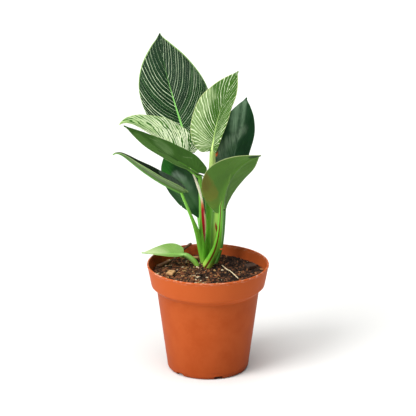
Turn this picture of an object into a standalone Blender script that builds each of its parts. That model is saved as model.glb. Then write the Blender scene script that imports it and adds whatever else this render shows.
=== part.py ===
"""A young philodendron birkin in a moulded plastic nursery pot.

The origin is the centre of the pot's base, +Z is up, and the plant's front looks along -Y.
Driving dimensions are in millimetres and degrees, and mesh coordinates are in metres.
"""

import math
import random
from dataclasses import dataclass

import bmesh
import bpy
from mathutils import Matrix, Vector, noise
from mathutils.bvhtree import BVHTree

MM = 0.001
# Between two solids that touch on the real plant
GAP = 0.3
SEED = 7

# Pot: a 4 inch nursery pot with a deep band below its rim
POT_HEIGHT = 97.0
RIM_RADIUS = 54.0
RIM_LIP = (1.6, 0.5)
BAND_HEIGHT = 19.5
BAND_FOOT_RADIUS = 50.4
NECK_DROP = 23.8
NECK_RADIUS = 45.4
HEEL_HEIGHT = 4.5
HEEL_RADIUS = 36.3
FOOT_RADIUS = 33.6
WALL = 1.3
POT_STEPS = 48

# Underside of the pot: a foot ring with drain gaps, a raised ring with drain holes and a flat centre
FOOT_RING_WIDTH = 3.2
RAISED_RING = 3.4
CENTRE_RADIUS = 14.0
DRAIN_COUNT = 6
DRAIN_FIRST_ANGLE = -75.0
DRAIN_GAP_WIDTH = 8.0
DRAIN_GAP_HEIGHT = 3.0
DRAIN_HOLE_RADIUS = 3.5
DRAIN_HOLE_CENTRE = 25.0

# Soil
SOIL_LEVEL = 87.0
SOIL_RINGS = 11
SOIL_LUMPS = 1.4
SOIL_LUMP_SIZE = 9.0
# The mix is heaped a little round the plant
HEAP_HEIGHT = 3.0
HEAP_SPREAD = 17.0
CROWN_CENTRE = (-0.5, 20.0)
CROWN_RADII = (11.6, 9.8)
CROWN_FOOT = 80.0
CROWN_TOP = 90.0
HOLE_CLEARANCE = 0.8

# Leaf blades
BLADE_EDGE = 0.8
BLADE_RIB = 2.4
BLADE_ROWS = 16
BLADE_COLUMNS = 6
MIDRIB_STEPS = 48
# How far behind the stalk the lobes may reach, as a fraction of the length
LOBE_REACH = 0.1

# Where each side vein meets the margin, as fractions of the length and of the half width, and where
# it leaves the midrib, as a fraction of the length, from the stalk round to the tip
VEINS = (
    (-0.055, 0.16, 0.000),
    (-0.070, 0.46, 0.015),
    (0.010, 0.77, 0.040),
    (0.150, 0.95, 0.090),
    (0.340, 1.00, 0.200),
    (0.560, 0.88, 0.370),
    (0.750, 0.62, 0.560),
    (0.890, 0.29, 0.750),
    (0.955, 0.10, 0.890),
    (1.000, 0.00, 1.000),
)

# Stalks
STALK_SIDES = 8
STALK_STATIONS = 12
STALK_GROOVE = 0.35
KNEE = 5.0
KNEE_GAP = 0.7
KNEE_DROP = 2.85
KNEE_RADIUS = 1.7

LEAF_GREEN = "2F5A33"
LEAF_STRIPED = "9DBE72"
LEAF_CREAM = "DCE6BE"
LEAF_OLIVE = "55763A"
LEAF_YOUNG = "8CC85F"
STALK_GREEN = "56A63A"
SHEATH_RED = "A8202C"
TERRACOTTA = "BE552D"
SOIL_BROWN = "33261D"
BARK_BROWN = "6B4A30"
BARK_TAN = "C99A66"
ROOT_CREAM = "D8C7A0"


def direction(heading, rise):
    """A unit vector: heading turns from +X towards +Y, and rise goes up from level, in degrees."""
    h, r = math.radians(heading), math.radians(rise)
    return Vector((math.cos(r) * math.cos(h), math.cos(r) * math.sin(h), math.sin(r)))


def curve_through(points, t):
    """A Catmull-Rom curve through tuples of numbers, at t from 0 to 1."""
    last = len(points) - 1
    at = min(max(t, 0.0), 1.0) * last
    i = min(int(at), last - 1)
    f = at - i
    a, b, c, d = (points[min(max(j, 0), last)] for j in (i - 1, i, i + 1, i + 2))
    if i == 0:
        a = [2 * p - q for p, q in zip(b, c)]
    if i == last - 1:
        d = [2 * q - p for p, q in zip(b, c)]
    return [
        0.5 * (2 * q + (r - p) * f + (2 * p - 5 * q + 4 * r - s) * f * f + (3 * q - p - 3 * r + s) * f**3)
        for p, q, r, s in zip(a, b, c, d)
    ]


@dataclass
class Leaf:
    """A blade: where its stalk ends, which way its midrib runs, and how it is folded and bent.

    Folds and halves are given for the half with negative v first. The margin is made fuller or
    slimmer between base and tip, more pointed at the tip, and longer or shorter in its lobes.
    """

    name: str
    base: tuple
    length: float
    width: float
    heading: float
    rise: float
    colour: str
    bend: float = 0.0
    curl: float = 0.0
    hook: float = 6.0
    sway: float = 0.0
    roll: float = 0.0
    twist: float = 0.0
    fold: tuple = (20, 20)
    fold_tip: tuple = None
    full: float = 0.0
    slim: float = 0.0
    point: float = 0.0
    wave: float = 0.8
    waves: float = 2.3
    phase: float = 0.0
    halves: tuple = (1.0, 1.0)
    lobe: float = 1.0
    rib: float = BLADE_RIB

    def __post_init__(self):
        """Walks along the midrib from behind the stalk to the tip."""
        start = -LOBE_REACH * self.length
        self.step = (self.length - start) / MIDRIB_STEPS
        self.start = start
        spots = [Vector((0, 0, 0))]
        for i in range(MIDRIB_STEPS):
            spots.append(spots[-1] + self.frame(start + (i + 0.5) * self.step)[0] * self.step)
        self.spots = spots
        shift = Vector(self.base) - self.spot(0)
        self.spots = [p + shift for p in spots]

    def spot(self, x):
        """The midrib's point at x along it."""
        at = min(max((x - self.start) / self.step, 0.0), MIDRIB_STEPS - 1e-6)
        i = int(at)
        return self.spots[i].lerp(self.spots[i + 1], at - i)

    def frame(self, x):
        """Along the midrib, out of the upper face, and towards the right margin."""
        s = min(max(x / self.length, 0.0), 1.0)
        rise = self.rise + self.bend * s + self.curl * s**self.hook
        heading = self.heading + self.sway * s
        along = direction(heading, rise)
        up = direction(heading, rise + 90)
        side = along.cross(up)
        turn = math.radians(self.roll + self.twist * s)
        face = up * math.cos(turn) + side * math.sin(turn)
        return along, face, side * math.cos(turn) - up * math.sin(turn)

    def flat(self, t, v):
        """The flat blade at vein t, 0 at the stalk and 1 at the tip, and v, -1 and 1 at the margins."""
        end, half, root = curve_through(VEINS, t)
        end *= self.lobe if end < 0 else 1
        end += self.full * math.sin(math.pi * max(end, 0))
        half *= (1 - self.slim * (1 - max(end, 0)) ** 3) * (1 - self.point * max(end, 0) ** 2)
        half *= self.halves[1 if v > 0 else 0]
        x0, x2, y2 = root * self.length, end * self.length, half * self.width / 2
        a = abs(v)
        x1, y1 = x0 + 0.25 * (x2 - x0), 0.55 * y2
        x = (1 - a) ** 2 * x0 + 2 * a * (1 - a) * x1 + a * a * x2
        y = 2 * a * (1 - a) * y1 + a * a * y2
        return x, math.copysign(y, v)

    def at(self, t, v):
        """The upper face at vein t and v, in space."""
        x, y = self.flat(t, v)
        along, face, side = self.frame(x)
        s = min(max(x / self.length, 0.0), 1.0)
        hand = 1 if y > 0 else 0
        tip = self.fold_tip or self.fold
        fold = math.radians(self.fold[hand] + (tip[hand] - self.fold[hand]) * s)
        out = abs(y)
        turn = 2 * math.pi * self.waves * s + self.phase + 1.3 * hand
        ripple = self.wave * math.sin(turn) * math.sin(math.pi * s) * (2 * out / self.width) ** 2
        sideways = math.copysign(out * math.cos(fold), y)
        return self.spot(x) + side * sideways + face * (out * math.sin(fold) + ripple)


@dataclass
class Stalk:
    """A leaf's stalk: its foot in the crown, its first and last directions, and its radii upwards."""

    foot: tuple
    leaves: tuple
    arrives: tuple
    reach: tuple
    radii: tuple

    def path(self, leaf):
        """Points up the stalk, ending in the knee that turns it along the midrib."""
        along, face, _ = leaf.frame(0)
        base = Vector(leaf.base) - face * KNEE_DROP
        knee = base - along * KNEE
        foot = Vector(self.foot)
        span = (knee - foot).length
        first = foot + direction(*self.leaves) * span * self.reach[0]
        second = knee - direction(*self.arrives) * span * self.reach[1]
        points = []
        for i in range(STALK_STATIONS):
            t = i / (STALK_STATIONS - 1)
            outer = (1 - t) ** 3 * foot + t**3 * knee
            points.append(outer + 3 * t * (1 - t) * ((1 - t) * first + t * second))
        return points + [base - along * KNEE * 0.5, base - along * KNEE_GAP]


LEAVES = {
    "tall": Leaf("leaf_tall_back", (-9.9, 37, 194.6), 110, 69, 146, 54, LEAF_GREEN, sway=-47.5, roll=-28,
                 fold=(15, 15), full=-0.02, slim=0.39, wave=1.2),
    "striped": Leaf("leaf_striped_front", (4, 12, 200.4), 74, 45, 75, 63.5, LEAF_STRIPED, bend=-19,
                    sway=-31, roll=-4, fold=(34, 54), fold_tip=(18, 5)),
    "cream": Leaf("leaf_cream_left", (-16, 16, 193.6), 71, 43, 185, 32, LEAF_CREAM, curl=-80, hook=9,
                  roll=-23, fold=(22, 22), halves=(0.55, 1.0)),
    "olive": Leaf("leaf_olive_left", (-9.3, -7, 183.2), 79.5, 40, 190, 33.6, LEAF_OLIVE, bend=5, roll=2,
                  twist=4, fold=(10, 37), fold_tip=(-28, 20), full=-0.04, slim=-0.22, lobe=1.6,
                  halves=(1.0, 0.88), wave=0.4),
    "narrow": Leaf("leaf_narrow_left", (-24.1, -12, 168.6), 71.5, 33, 190, 26, LEAF_OLIVE, bend=22.7,
                   curl=-95, hook=14, roll=-1, fold=(26, 19), point=0.35, full=-0.09, wave=0.3),
    "front": Leaf("leaf_front_right", (12.6, -15, 153.4), 68, 58, -20, 92, LEAF_OLIVE, bend=-72, sway=-2,
                  roll=-48, twist=7, fold=(35, 11), fold_tip=(-10, -15), full=0.03, slim=0.57, lobe=0.78,
                  halves=(0.71, 1.0), wave=0.3),
    "dark": Leaf("leaf_dark_right", (14.4, 27, 151.6), 91, 45.5, 60, 59, LEAF_GREEN, roll=-10, twist=7,
                 sway=10, fold=(20, 18), full=0.05, slim=0.66, wave=1.0),
    "low": Leaf("leaf_low_left", (-7.4, 7.5, 142.6), 62, 31, 183, 60.5, LEAF_GREEN, roll=-80, fold=(6, 10),
                full=0.14, slim=0.5, wave=0.6),
    "small": Leaf("leaf_small_base", (-22.5, 16, 99.7), 36.5, 20.5, 178, 2, LEAF_YOUNG, roll=-36,
                  fold=(43, 15), full=-0.15, lobe=0.26, point=0.5, wave=0.2, rib=1.5),
}

STALKS = {
    "tall": Stalk((-0.5, 27.5, 84), (90, 86), (165, 82), (0.4, 0.3), (2.8, 3.0, 2.3)),
    "striped": Stalk((1.5, 23, 84), (270, 84), (60, 88), (0.4, 0.3), (3.2, 3.5, 2.6)),
    "cream": Stalk((-3, 28, 84), (230, 84), (170, 75), (0.4, 0.3), (2.6, 2.8, 2.1)),
    "olive": Stalk((-3, 21, 84), (250, 78), (220, 86), (0.4, 0.25), (2.6, 2.8, 2.1)),
    "narrow": Stalk((-4, 16, 84), (225, 80), (185, 62), (0.4, 0.25), (3.4, 3.9, 2.1)),
    "front": Stalk((-3, 13, 84), (-8, 58), (-10, 80), (0.42, 0.35), (3.8, 4.0, 2.9)),
    "dark": Stalk((7.2, 21, 84), (0, 70), (60, 86), (0.3, 0.3), (2.6, 2.8, 2.2)),
    "low": Stalk((0, 26, 84), (230, 78), (200, 80), (0.4, 0.3), (2.2, 2.3, 1.9)),
    "small": Stalk((-8, 15.5, 84), (195, 80), (180, 25), (0.42, 0.35), (1.8, 1.9, 1.5)),
}

# The dry sheath that clasps the olive leaf's stalk, from and to fractions of that stalk
SHEATH_SPAN = (0.42, 0.92)
SHEATH_THICK = 0.7
SHEATH_REACH = 62.0

# Litter on the soil: name, centre, length, width, thickness, turn, colour
CHIPS = (
    ("bark_chip_front", (-33, -3), 9.0, 6.0, 2.4, 70, BARK_TAN),
    ("bark_chip_back", (-14, 38), 11.0, 4.0, 1.6, 8, BARK_TAN),
    ("bark_stick_left", (-40, 22), 15.0, 3.4, 2.2, 52, BARK_BROWN),
    ("bark_chip_right", (38, 14), 9.0, 7.0, 3.4, 25, SOIL_BROWN),
)
TWIGS = (
    ("twig_back", ((-22, 36, 3.5), (-18, 40, 6.5), (-13.5, 43, 10.5)), 1.1, BARK_BROWN),
    ("root_fibre", ((13, 13, 3.2), (18, 0, 2.6), (26, -16, 2.6)), 0.7, ROOT_CREAM),
)


def collection(name):
    made = bpy.data.collections.new(name)
    bpy.context.scene.collection.children.link(made)
    return made


def linear(hex_colour):
    """An sRGB hex colour as linear red, green, blue and alpha."""
    parts = [int(hex_colour[i : i + 2], 16) / 255 for i in (0, 2, 4)]
    return [c / 12.92 if c <= 0.04045 else ((c + 0.055) / 1.055) ** 2.4 for c in parts] + [1.0]


def finish(name, colour, roughness):
    """The named Principled material, made once."""
    found = bpy.data.materials.get(name)
    if found:
        return found
    made = bpy.data.materials.new(name)
    made.use_nodes = True
    shader = made.node_tree.nodes["Principled BSDF"]
    shader.inputs["Base Color"].default_value = linear(colour)
    shader.inputs["Roughness"].default_value = roughness
    shader.inputs["Metallic"].default_value = 0.0
    return made


def add_object(name, mesh, group, material=None):
    made = bpy.data.objects.new(name, mesh)
    group.objects.link(made)
    if material:
        mesh.materials.append(material)
    return made


def mesh_from(bm, name, smooth_angle=35):
    """Writes a bmesh, closed and facing out, into a new mesh, from millimetres to metres."""
    bmesh.ops.recalc_face_normals(bm, faces=bm.faces)
    bmesh.ops.scale(bm, vec=(MM, MM, MM), verts=bm.verts)
    mesh = bpy.data.meshes.new(name)
    bm.to_mesh(mesh)
    bm.free()
    mesh.shade_smooth()
    mesh.set_sharp_from_angle(angle=math.radians(smooth_angle))
    return mesh


def turned(name, profile, group, material, steps):
    """A Screw of a profile of radius and height that runs down its outer side."""
    bm = bmesh.new()
    corners = [bm.verts.new((r * MM, 0, z * MM)) for r, z in profile]
    for a, b in zip(corners, corners[1:]):
        bm.edges.new((a, b))
    mesh = bpy.data.meshes.new(name)
    bm.to_mesh(mesh)
    bm.free()
    made = add_object(name, mesh, group, material)
    screw = made.modifiers.new("turn", "SCREW")
    screw.angle = 2 * math.pi
    screw.steps = steps
    screw.render_steps = steps
    screw.axis = "Z"
    screw.use_merge_vertices = True
    screw.merge_threshold = 0.00001
    screw.use_smooth_shade = True
    return made


def cut(target, cutter):
    """A Boolean difference by a hidden cutter."""
    cutter.hide_render = True
    cutter.display_type = "WIRE"
    made = target.modifiers.new("cut", "BOOLEAN")
    made.operation = "DIFFERENCE"
    made.solver = "EXACT"
    made.object = cutter


def cylinder(name, radius, low, high, centre, group, sides=24):
    bm = bmesh.new()
    bmesh.ops.create_cone(
        bm, cap_ends=True, segments=sides, radius1=radius, radius2=radius, depth=high - low,
        matrix=Matrix.Translation((centre[0], centre[1], (low + high) / 2)),
    )
    return add_object(name, mesh_from(bm, name), group)


def make_pot(parts, cutters):
    """The pot: one moulded wall with a banded rim, a foot ring, drain gaps and drain holes."""
    lip_height, lip_depth = RIM_LIP
    band_top = RIM_RADIUS - lip_depth
    band_foot = POT_HEIGHT - BAND_HEIGHT
    neck = POT_HEIGHT - NECK_DROP
    outer = [
        (RIM_RADIUS - 0.5, POT_HEIGHT),
        (RIM_RADIUS, POT_HEIGHT - 0.5),
        (RIM_RADIUS, POT_HEIGHT - lip_height),
        (band_top, POT_HEIGHT - lip_height - lip_depth),
        (BAND_FOOT_RADIUS, band_foot + 1.2),
        (BAND_FOOT_RADIUS - 0.7, band_foot),
        (NECK_RADIUS + 0.6, neck + 0.7),
        (NECK_RADIUS, neck),
        (HEEL_RADIUS, HEEL_HEIGHT),
        (HEEL_RADIUS - 0.8, 1.6),
        (FOOT_RADIUS + 0.8, 0.4),
        (FOOT_RADIUS, 0.0),
    ]
    ring_inner = FOOT_RADIUS - FOOT_RING_WIDTH
    under = [
        (ring_inner, 0.0),
        (ring_inner - 0.6, RAISED_RING),
        (CENTRE_RADIUS + 1.2, RAISED_RING),
        (CENTRE_RADIUS, 0.0),
        (0.0, 0.0),
    ]
    floor = RAISED_RING + WALL
    inner = [
        (0.0, WALL),
        (CENTRE_RADIUS - 0.6, WALL),
        (CENTRE_RADIUS + 0.8, floor),
        (HEEL_RADIUS - WALL - 0.6, floor),
        (HEEL_RADIUS - WALL, floor + 0.8),
        (NECK_RADIUS - WALL, neck + 0.4),
        (BAND_FOOT_RADIUS - WALL - 0.4, band_foot + 1.0),
        (band_top - WALL, POT_HEIGHT - lip_height),
        (RIM_RADIUS - WALL - 0.3, POT_HEIGHT),
    ]
    plastic = finish("terracotta_plastic", TERRACOTTA, 0.5)
    pot = turned("pot", inner + outer + under, parts, plastic, POT_STEPS)
    for i in range(DRAIN_COUNT):
        angle = math.radians(DRAIN_FIRST_ANGLE + 360 / DRAIN_COUNT * i)
        bm = bmesh.new()
        bmesh.ops.create_cube(bm, size=1)
        bmesh.ops.scale(bm, vec=(14, DRAIN_GAP_WIDTH, 2 * DRAIN_GAP_HEIGHT), verts=bm.verts)
        bmesh.ops.translate(bm, vec=(FOOT_RADIUS + 0.5, 0, 0), verts=bm.verts)
        bmesh.ops.rotate(bm, matrix=Matrix.Rotation(angle, 3, "Z"), verts=bm.verts)
        name = f"drain_gap_{i}"
        cut(pot, add_object(name, mesh_from(bm, name), cutters))
        out = direction(math.degrees(angle) + 180 / DRAIN_COUNT, 0) * DRAIN_HOLE_CENTRE
        cut(pot, cylinder(f"drain_hole_{i}", DRAIN_HOLE_RADIUS, 1, 8, out, cutters, sides=12))
    return pot


def soil_height(x, y):
    """The soil's lumpy surface, heaped round the plant."""
    lump = noise.noise(Vector((x, y, SEED)) / SOIL_LUMP_SIZE) + 0.6 * noise.noise(Vector((x, y, 31)) / 4.0)
    away = math.hypot(x - CROWN_CENTRE[0], y - CROWN_CENTRE[1]) / HEAP_SPREAD
    return SOIL_LEVEL + SOIL_LUMPS * lump + HEAP_HEIGHT * math.exp(-away * away)


def round_loop(bm, radius, height):
    made = bmesh.ops.create_circle(bm, cap_ends=False, radius=radius, segments=POT_STEPS)["verts"]
    bmesh.ops.translate(bm, vec=(0, 0, height), verts=made)
    return made


def bridge(bm, one, other):
    """Faces between two loops of vertices."""
    one, other = set(one), set(other)
    edges = [e for e in bm.edges if set(e.verts) <= one or set(e.verts) <= other]
    bmesh.ops.bridge_loops(bm, edges=edges)


def make_soil(parts, cutters):
    """The root ball and its loose top, which fill the pot, with a plain hole for the crown."""
    inside = WALL + GAP
    neck = POT_HEIGHT - NECK_DROP
    band_foot = POT_HEIGHT - BAND_HEIGHT
    slope = (RIM_RADIUS - 0.5 - BAND_FOOT_RADIUS) / BAND_HEIGHT
    edge = BAND_FOOT_RADIUS + slope * (SOIL_LEVEL - band_foot) - inside - 0.3
    side = [
        (BAND_FOOT_RADIUS - inside - 0.8, band_foot + 1.2),
        (NECK_RADIUS - inside - 0.1, neck + 0.2),
        (HEEL_RADIUS - inside - 0.2, RAISED_RING + WALL + 1.6),
    ]
    bm = bmesh.new()
    rings = [round_loop(bm, edge * (1 - i / SOIL_RINGS), 0) for i in range(SOIL_RINGS)]
    for outer, inner in zip(rings, rings[1:]):
        bridge(bm, outer, inner)
    middle = bm.verts.new((0, 0, 0))
    for a, b in zip(rings[-1], rings[-1][1:] + rings[-1][:1]):
        bm.faces.new((a, b, middle))
    for v in bm.verts:
        v.co.z = soil_height(v.co.x, v.co.y)
    for v in rings[0]:
        v.co.z = SOIL_LEVEL - 1.0
    lowest = rings[0]
    for radius, height in side:
        below = round_loop(bm, radius, height)
        bridge(bm, lowest, below)
        lowest = below
    bm.faces.new(lowest)
    bmesh.ops.triangulate(bm, faces=bm.faces)
    soil = add_object("soil", mesh_from(bm, "soil", 20), parts, finish("potting_mix", SOIL_BROWN, 0.95))
    radius = CROWN_RADII[0] + HOLE_CLEARANCE
    cut(soil, cylinder("crown_hole", radius, CROWN_FOOT - GAP, POT_HEIGHT, CROWN_CENTRE, cutters))
    return soil


def make_blade(leaf, parts):
    """A blade whose rows follow its side veins, thicker below along the midrib."""
    bm = bmesh.new()
    bmesh.ops.create_grid(bm, x_segments=BLADE_COLUMNS, y_segments=BLADE_ROWS, size=1)
    ribs = []
    for v in bm.verts:
        across, along = v.co.x, (v.co.y + 1) / 2
        if abs(across) < 0.01 and along > 0.01:
            ribs.append(v)
        v.co = leaf.at(along, across)
    bmesh.ops.triangulate(bm, faces=bm.faces)
    bmesh.ops.remove_doubles(bm, verts=bm.verts, dist=0.05)
    bmesh.ops.scale(bm, vec=(MM, MM, MM), verts=bm.verts)
    bm.verts.index_update()
    mesh = bpy.data.meshes.new(leaf.name)
    rib_indices = [v.index for v in ribs if v.is_valid]
    bm.to_mesh(mesh)
    bm.free()
    mesh.shade_smooth()
    blade = add_object(leaf.name, mesh, parts, finish(f"{leaf.name}_skin", leaf.colour, 0.35))
    group = blade.vertex_groups.new(name="midrib")
    group.add(rib_indices, 1.0, "REPLACE")
    solid = blade.modifiers.new("thickness", "SOLIDIFY")
    solid.thickness = leaf.rib * MM
    solid.offset = -1
    solid.use_even_offset = False
    solid.vertex_group = "midrib"
    solid.thickness_vertex_group = BLADE_EDGE / leaf.rib
    return blade


def tube(points, radii, name, sides=STALK_SIDES, groove=0.0):
    """A closed tube through points, with an optional groove along its inner side."""
    bm = bmesh.new()
    side = Vector((1, 0, 0))
    rings = []
    for i, point in enumerate(points):
        ahead = points[min(i + 1, len(points) - 1)] - points[max(i - 1, 0)]
        ahead.normalize()
        side = (side - ahead * side.dot(ahead)).normalized()
        other = ahead.cross(side)
        ring = []
        for k in range(sides):
            angle = 2 * math.pi * (k + 0.5) / sides
            reach = radii[i] * (1 - groove * max(0.0, math.sin(angle)) ** 4)
            ring.append(bm.verts.new(point + (side * math.cos(angle) + other * math.sin(angle)) * reach))
        rings.append(ring)
    for a, b in zip(rings, rings[1:]):
        for k in range(sides):
            n = (k + 1) % sides
            bm.faces.new((a[k], a[n], b[n], b[k]))
    bm.faces.new(list(reversed(rings[0])))
    bm.faces.new(rings[-1])
    return mesh_from(bm, name, 60)


def stalk_radii(stalk, count):
    """Fullest a third of the way up, in the sheathing foot, slim above it and slimmest at the knee."""
    foot, belly, neck = stalk.radii
    heights = (i / (count - 3) for i in range(count - 2))
    radii = [curve_through(((foot,), (belly,), (neck,), (neck,)), t)[0] for t in heights]
    return radii + [min(neck, KNEE_RADIUS)] * 2


def make_stems(parts):
    """The crown and every leaf stalk, which grow as one."""
    gathered = collection("stalks_to_join")
    bm = bmesh.new()
    bmesh.ops.create_cone(
        bm, cap_ends=True, segments=20, radius1=CROWN_RADII[0], radius2=CROWN_RADII[1],
        depth=CROWN_TOP - CROWN_FOOT,
        matrix=Matrix.Translation((*CROWN_CENTRE, (CROWN_TOP + CROWN_FOOT) / 2)),
    )
    stems = add_object("stems", mesh_from(bm, "stems"), parts, finish("stalk_skin", STALK_GREEN, 0.35))
    for key, stalk in STALKS.items():
        points = stalk.path(LEAVES[key])
        name = f"stalk_{key}"
        add_object(name, tube(points, stalk_radii(stalk, len(points)), name, groove=STALK_GROOVE), gathered)
    union = stems.modifiers.new("grow_together", "BOOLEAN")
    union.operation = "UNION"
    union.solver = "EXACT"
    union.operand_type = "COLLECTION"
    union.collection = gathered
    settle(stems)
    for stalk_object in list(gathered.objects):
        bpy.data.objects.remove(stalk_object)
    bpy.data.collections.remove(gathered)
    return stems


def settle(thing):
    """Applies an object's modifiers."""
    bpy.context.view_layer.update()
    evaluated = thing.evaluated_get(bpy.context.evaluated_depsgraph_get())
    mesh = bpy.data.meshes.new_from_object(evaluated)
    mesh.name = thing.name
    thing.modifiers.clear()
    thing.data = mesh


def make_sheath(parts):
    """The dry red sheath, a crescent that clasps the front of the olive leaf's stalk."""
    stalk = STALKS["olive"]
    points = stalk.path(LEAVES["olive"])
    radii = stalk_radii(stalk, len(points))
    first, last = (round(f * (STALK_STATIONS - 1)) for f in SHEATH_SPAN)
    bm = bmesh.new()
    rings = []
    for i in range(first, last + 1):
        ahead = (points[i + 1] - points[i - 1]).normalized()
        front = Vector((0.4, -1, 0))
        front = (front - ahead * front.dot(ahead)).normalized()
        side = ahead.cross(front)
        along = (i - first) / (last - first)
        reach = math.radians(SHEATH_REACH) * (1 - 0.75 * along)
        near, far = radii[i] + 0.4, radii[i] + 0.4 + SHEATH_THICK
        arc = [-reach, -reach / 2, 0, reach / 2, reach]
        ring = [points[i] + (front * math.cos(a) + side * math.sin(a)) * far for a in arc]
        ring += [points[i] + (front * math.cos(a) + side * math.sin(a)) * near for a in reversed(arc)]
        rings.append([bm.verts.new(p) for p in ring])
    for a, b in zip(rings, rings[1:]):
        for k in range(len(a)):
            n = (k + 1) % len(a)
            bm.faces.new((a[k], a[n], b[n], b[k]))
    bm.faces.new(list(reversed(rings[0])))
    bm.faces.new(rings[-1])
    add_object("sheath", mesh_from(bm, "sheath", 60), parts, finish("dry_sheath", SHEATH_RED, 0.45))


def surface_below(soil):
    """A function that gives the built soil's height under a point, in millimetres."""
    bpy.context.view_layer.update()
    tree = BVHTree.FromObject(soil, bpy.context.evaluated_depsgraph_get())

    def height(x, y):
        hit = tree.ray_cast(Vector((x * MM, y * MM, 1)), Vector((0, 0, -1)))[0]
        return hit.z / MM if hit else SOIL_LEVEL

    return height


def make_chips(parts, height):
    """Bark chips: bevelled, slightly skewed blocks that lie on the soil's highest lumps under them."""
    draw = random.Random(SEED)
    for name, (x, y), length, width, thick, turn, colour in CHIPS:
        bm = bmesh.new()
        bmesh.ops.create_cube(bm, size=1)
        bmesh.ops.scale(bm, vec=(length, width, thick), verts=bm.verts)
        for v in bm.verts:
            v.co.x += draw.uniform(-0.12, 0.12) * length
            v.co.y += draw.uniform(-0.12, 0.12) * width
        bmesh.ops.bevel(bm, geom=bm.edges, offset=0.5, segments=1, profile=0.5, affect="EDGES", material=-1)
        bmesh.ops.triangulate(bm, faces=bm.faces)
        bmesh.ops.rotate(bm, matrix=Matrix.Rotation(math.radians(turn), 3, "Z"), verts=bm.verts)
        bmesh.ops.translate(bm, vec=(x, y, 0), verts=bm.verts)
        seat(bm, height)
        add_object(name, mesh_from(bm, name), parts, finish(f"{name}_wood", colour, 0.85))


def seat(bm, height):
    """Lowers or lifts a piece until its underside clears the soil by the gap."""
    needed = []
    for v in bm.verts:
        needed.append(height(v.co.x, v.co.y) + GAP - v.co.z)
    for edge in bm.edges:
        for share in (0.25, 0.5, 0.75):
            spot = edge.verts[0].co.lerp(edge.verts[1].co, share)
            needed.append(height(spot.x, spot.y) + GAP - spot.z)
    bmesh.ops.translate(bm, vec=(0, 0, max(needed)), verts=bm.verts)


def make_twigs(parts, height):
    """Thin litter: curves with a round bevel, welded into closed tubes and seated on the soil."""
    for name, route, radius, colour in TWIGS:
        a, b, c = (Vector((x, y, SOIL_LEVEL + z)) for x, y, z in route)
        bends = [a, a.lerp(b, 0.5), b, b.lerp(c, 0.5), c]
        mesh = tube(bends, [radius * 0.8, radius, radius, radius * 0.9, radius * 0.6], name, sides=6)
        bm = bmesh.new()
        bm.from_mesh(mesh)
        bmesh.ops.scale(bm, vec=(1 / MM, 1 / MM, 1 / MM), verts=bm.verts)
        bmesh.ops.triangulate(bm, faces=bm.faces)
        seat(bm, height)
        add_object(name, mesh_from(bm, name), parts, finish(f"{name}_fibre", colour, 0.85))


def main():
    for thing in list(bpy.data.objects):
        bpy.data.objects.remove(thing)
    parts = collection("potted_birkin")
    cutters = collection("cutters")
    make_pot(parts, cutters)
    soil = make_soil(parts, cutters)
    for leaf in LEAVES.values():
        make_blade(leaf, parts)
    make_stems(parts)
    make_sheath(parts)
    height = surface_below(soil)
    make_chips(parts, height)
    make_twigs(parts, height)


main()
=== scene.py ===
"""The dressed model of a young philodendron birkin in a moulded nursery pot.

Shapes are worked out in millimetres and stored in metres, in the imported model's own frame: the origin
is the centre of the pot's underside, +Z is up and the plant's front looks along -Y.
"""

import math
import random
from dataclasses import dataclass
from functools import lru_cache, partial

import bmesh
import bpy
from mathutils import Matrix, Vector, noise


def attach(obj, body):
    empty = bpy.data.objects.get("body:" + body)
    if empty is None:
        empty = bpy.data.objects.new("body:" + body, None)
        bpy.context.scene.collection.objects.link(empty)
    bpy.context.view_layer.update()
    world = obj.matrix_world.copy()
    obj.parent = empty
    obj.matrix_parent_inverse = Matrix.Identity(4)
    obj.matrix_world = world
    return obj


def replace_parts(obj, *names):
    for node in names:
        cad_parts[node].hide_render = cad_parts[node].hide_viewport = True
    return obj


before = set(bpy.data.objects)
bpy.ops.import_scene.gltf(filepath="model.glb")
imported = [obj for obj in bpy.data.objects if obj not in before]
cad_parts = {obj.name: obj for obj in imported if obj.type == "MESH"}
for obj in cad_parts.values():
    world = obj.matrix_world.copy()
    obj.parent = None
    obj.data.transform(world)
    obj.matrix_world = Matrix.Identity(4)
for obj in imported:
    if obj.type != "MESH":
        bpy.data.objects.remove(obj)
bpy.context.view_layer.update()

MM = 0.001
# Object coordinates count in metres: a pattern's scale on them is METRE over its size in mm
METRE = 1000.0
# The flat map of a blade and the map along a stalk count in steps of PLAN mm: a pattern's scale on a
# blade is PLAN over its size in mm. A ribbon's map runs from 0 to 1 along it
PLAN = 100.0
SEED = 11

# The photograph's camera: it looks down a little at the middle of the plant, from far off
VIEW_DOWN = 18.4
VIEW_DISTANCE = 2600.0
VIEW_TARGET = (0.0, 0.0, 148.5)
VIEW_LENS = 255.8

# Soft suns, so that the floor is evenly lit: turn to the left of the camera, height and softness in
# degrees, and strength. Then the light of the room, and half the floor's width in metres
LAMPS = (("window", 53, 36, 32, 2.75), ("ceiling", 24, 78, 60, 3.1))
ROOM_LIGHT = 0.15
FLOOR_REACH = 6

# Pot
POT_HEIGHT = 97.0
RIM_RADIUS = 54.0
BAND_HEIGHT = 19.5
BAND_FOOT_RADIUS = 50.4
NECK_DROP = 23.8
NECK_RADIUS = 45.4
HEEL_HEIGHT = 4.5
HEEL_RADIUS = 36.3
FOOT_RADIUS = 33.6
WALL = 1.3
FOOT_RING_WIDTH = 3.2
RAISED_RING = 3.4
CENTRE_RADIUS = 14.0
# Heights of the band's foot, of the neck below it and of the floor inside
BAND_FOOT = POT_HEIGHT - BAND_HEIGHT
NECK = POT_HEIGHT - NECK_DROP
FLOOR = RAISED_RING + WALL
POT_STEPS = 180
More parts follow.
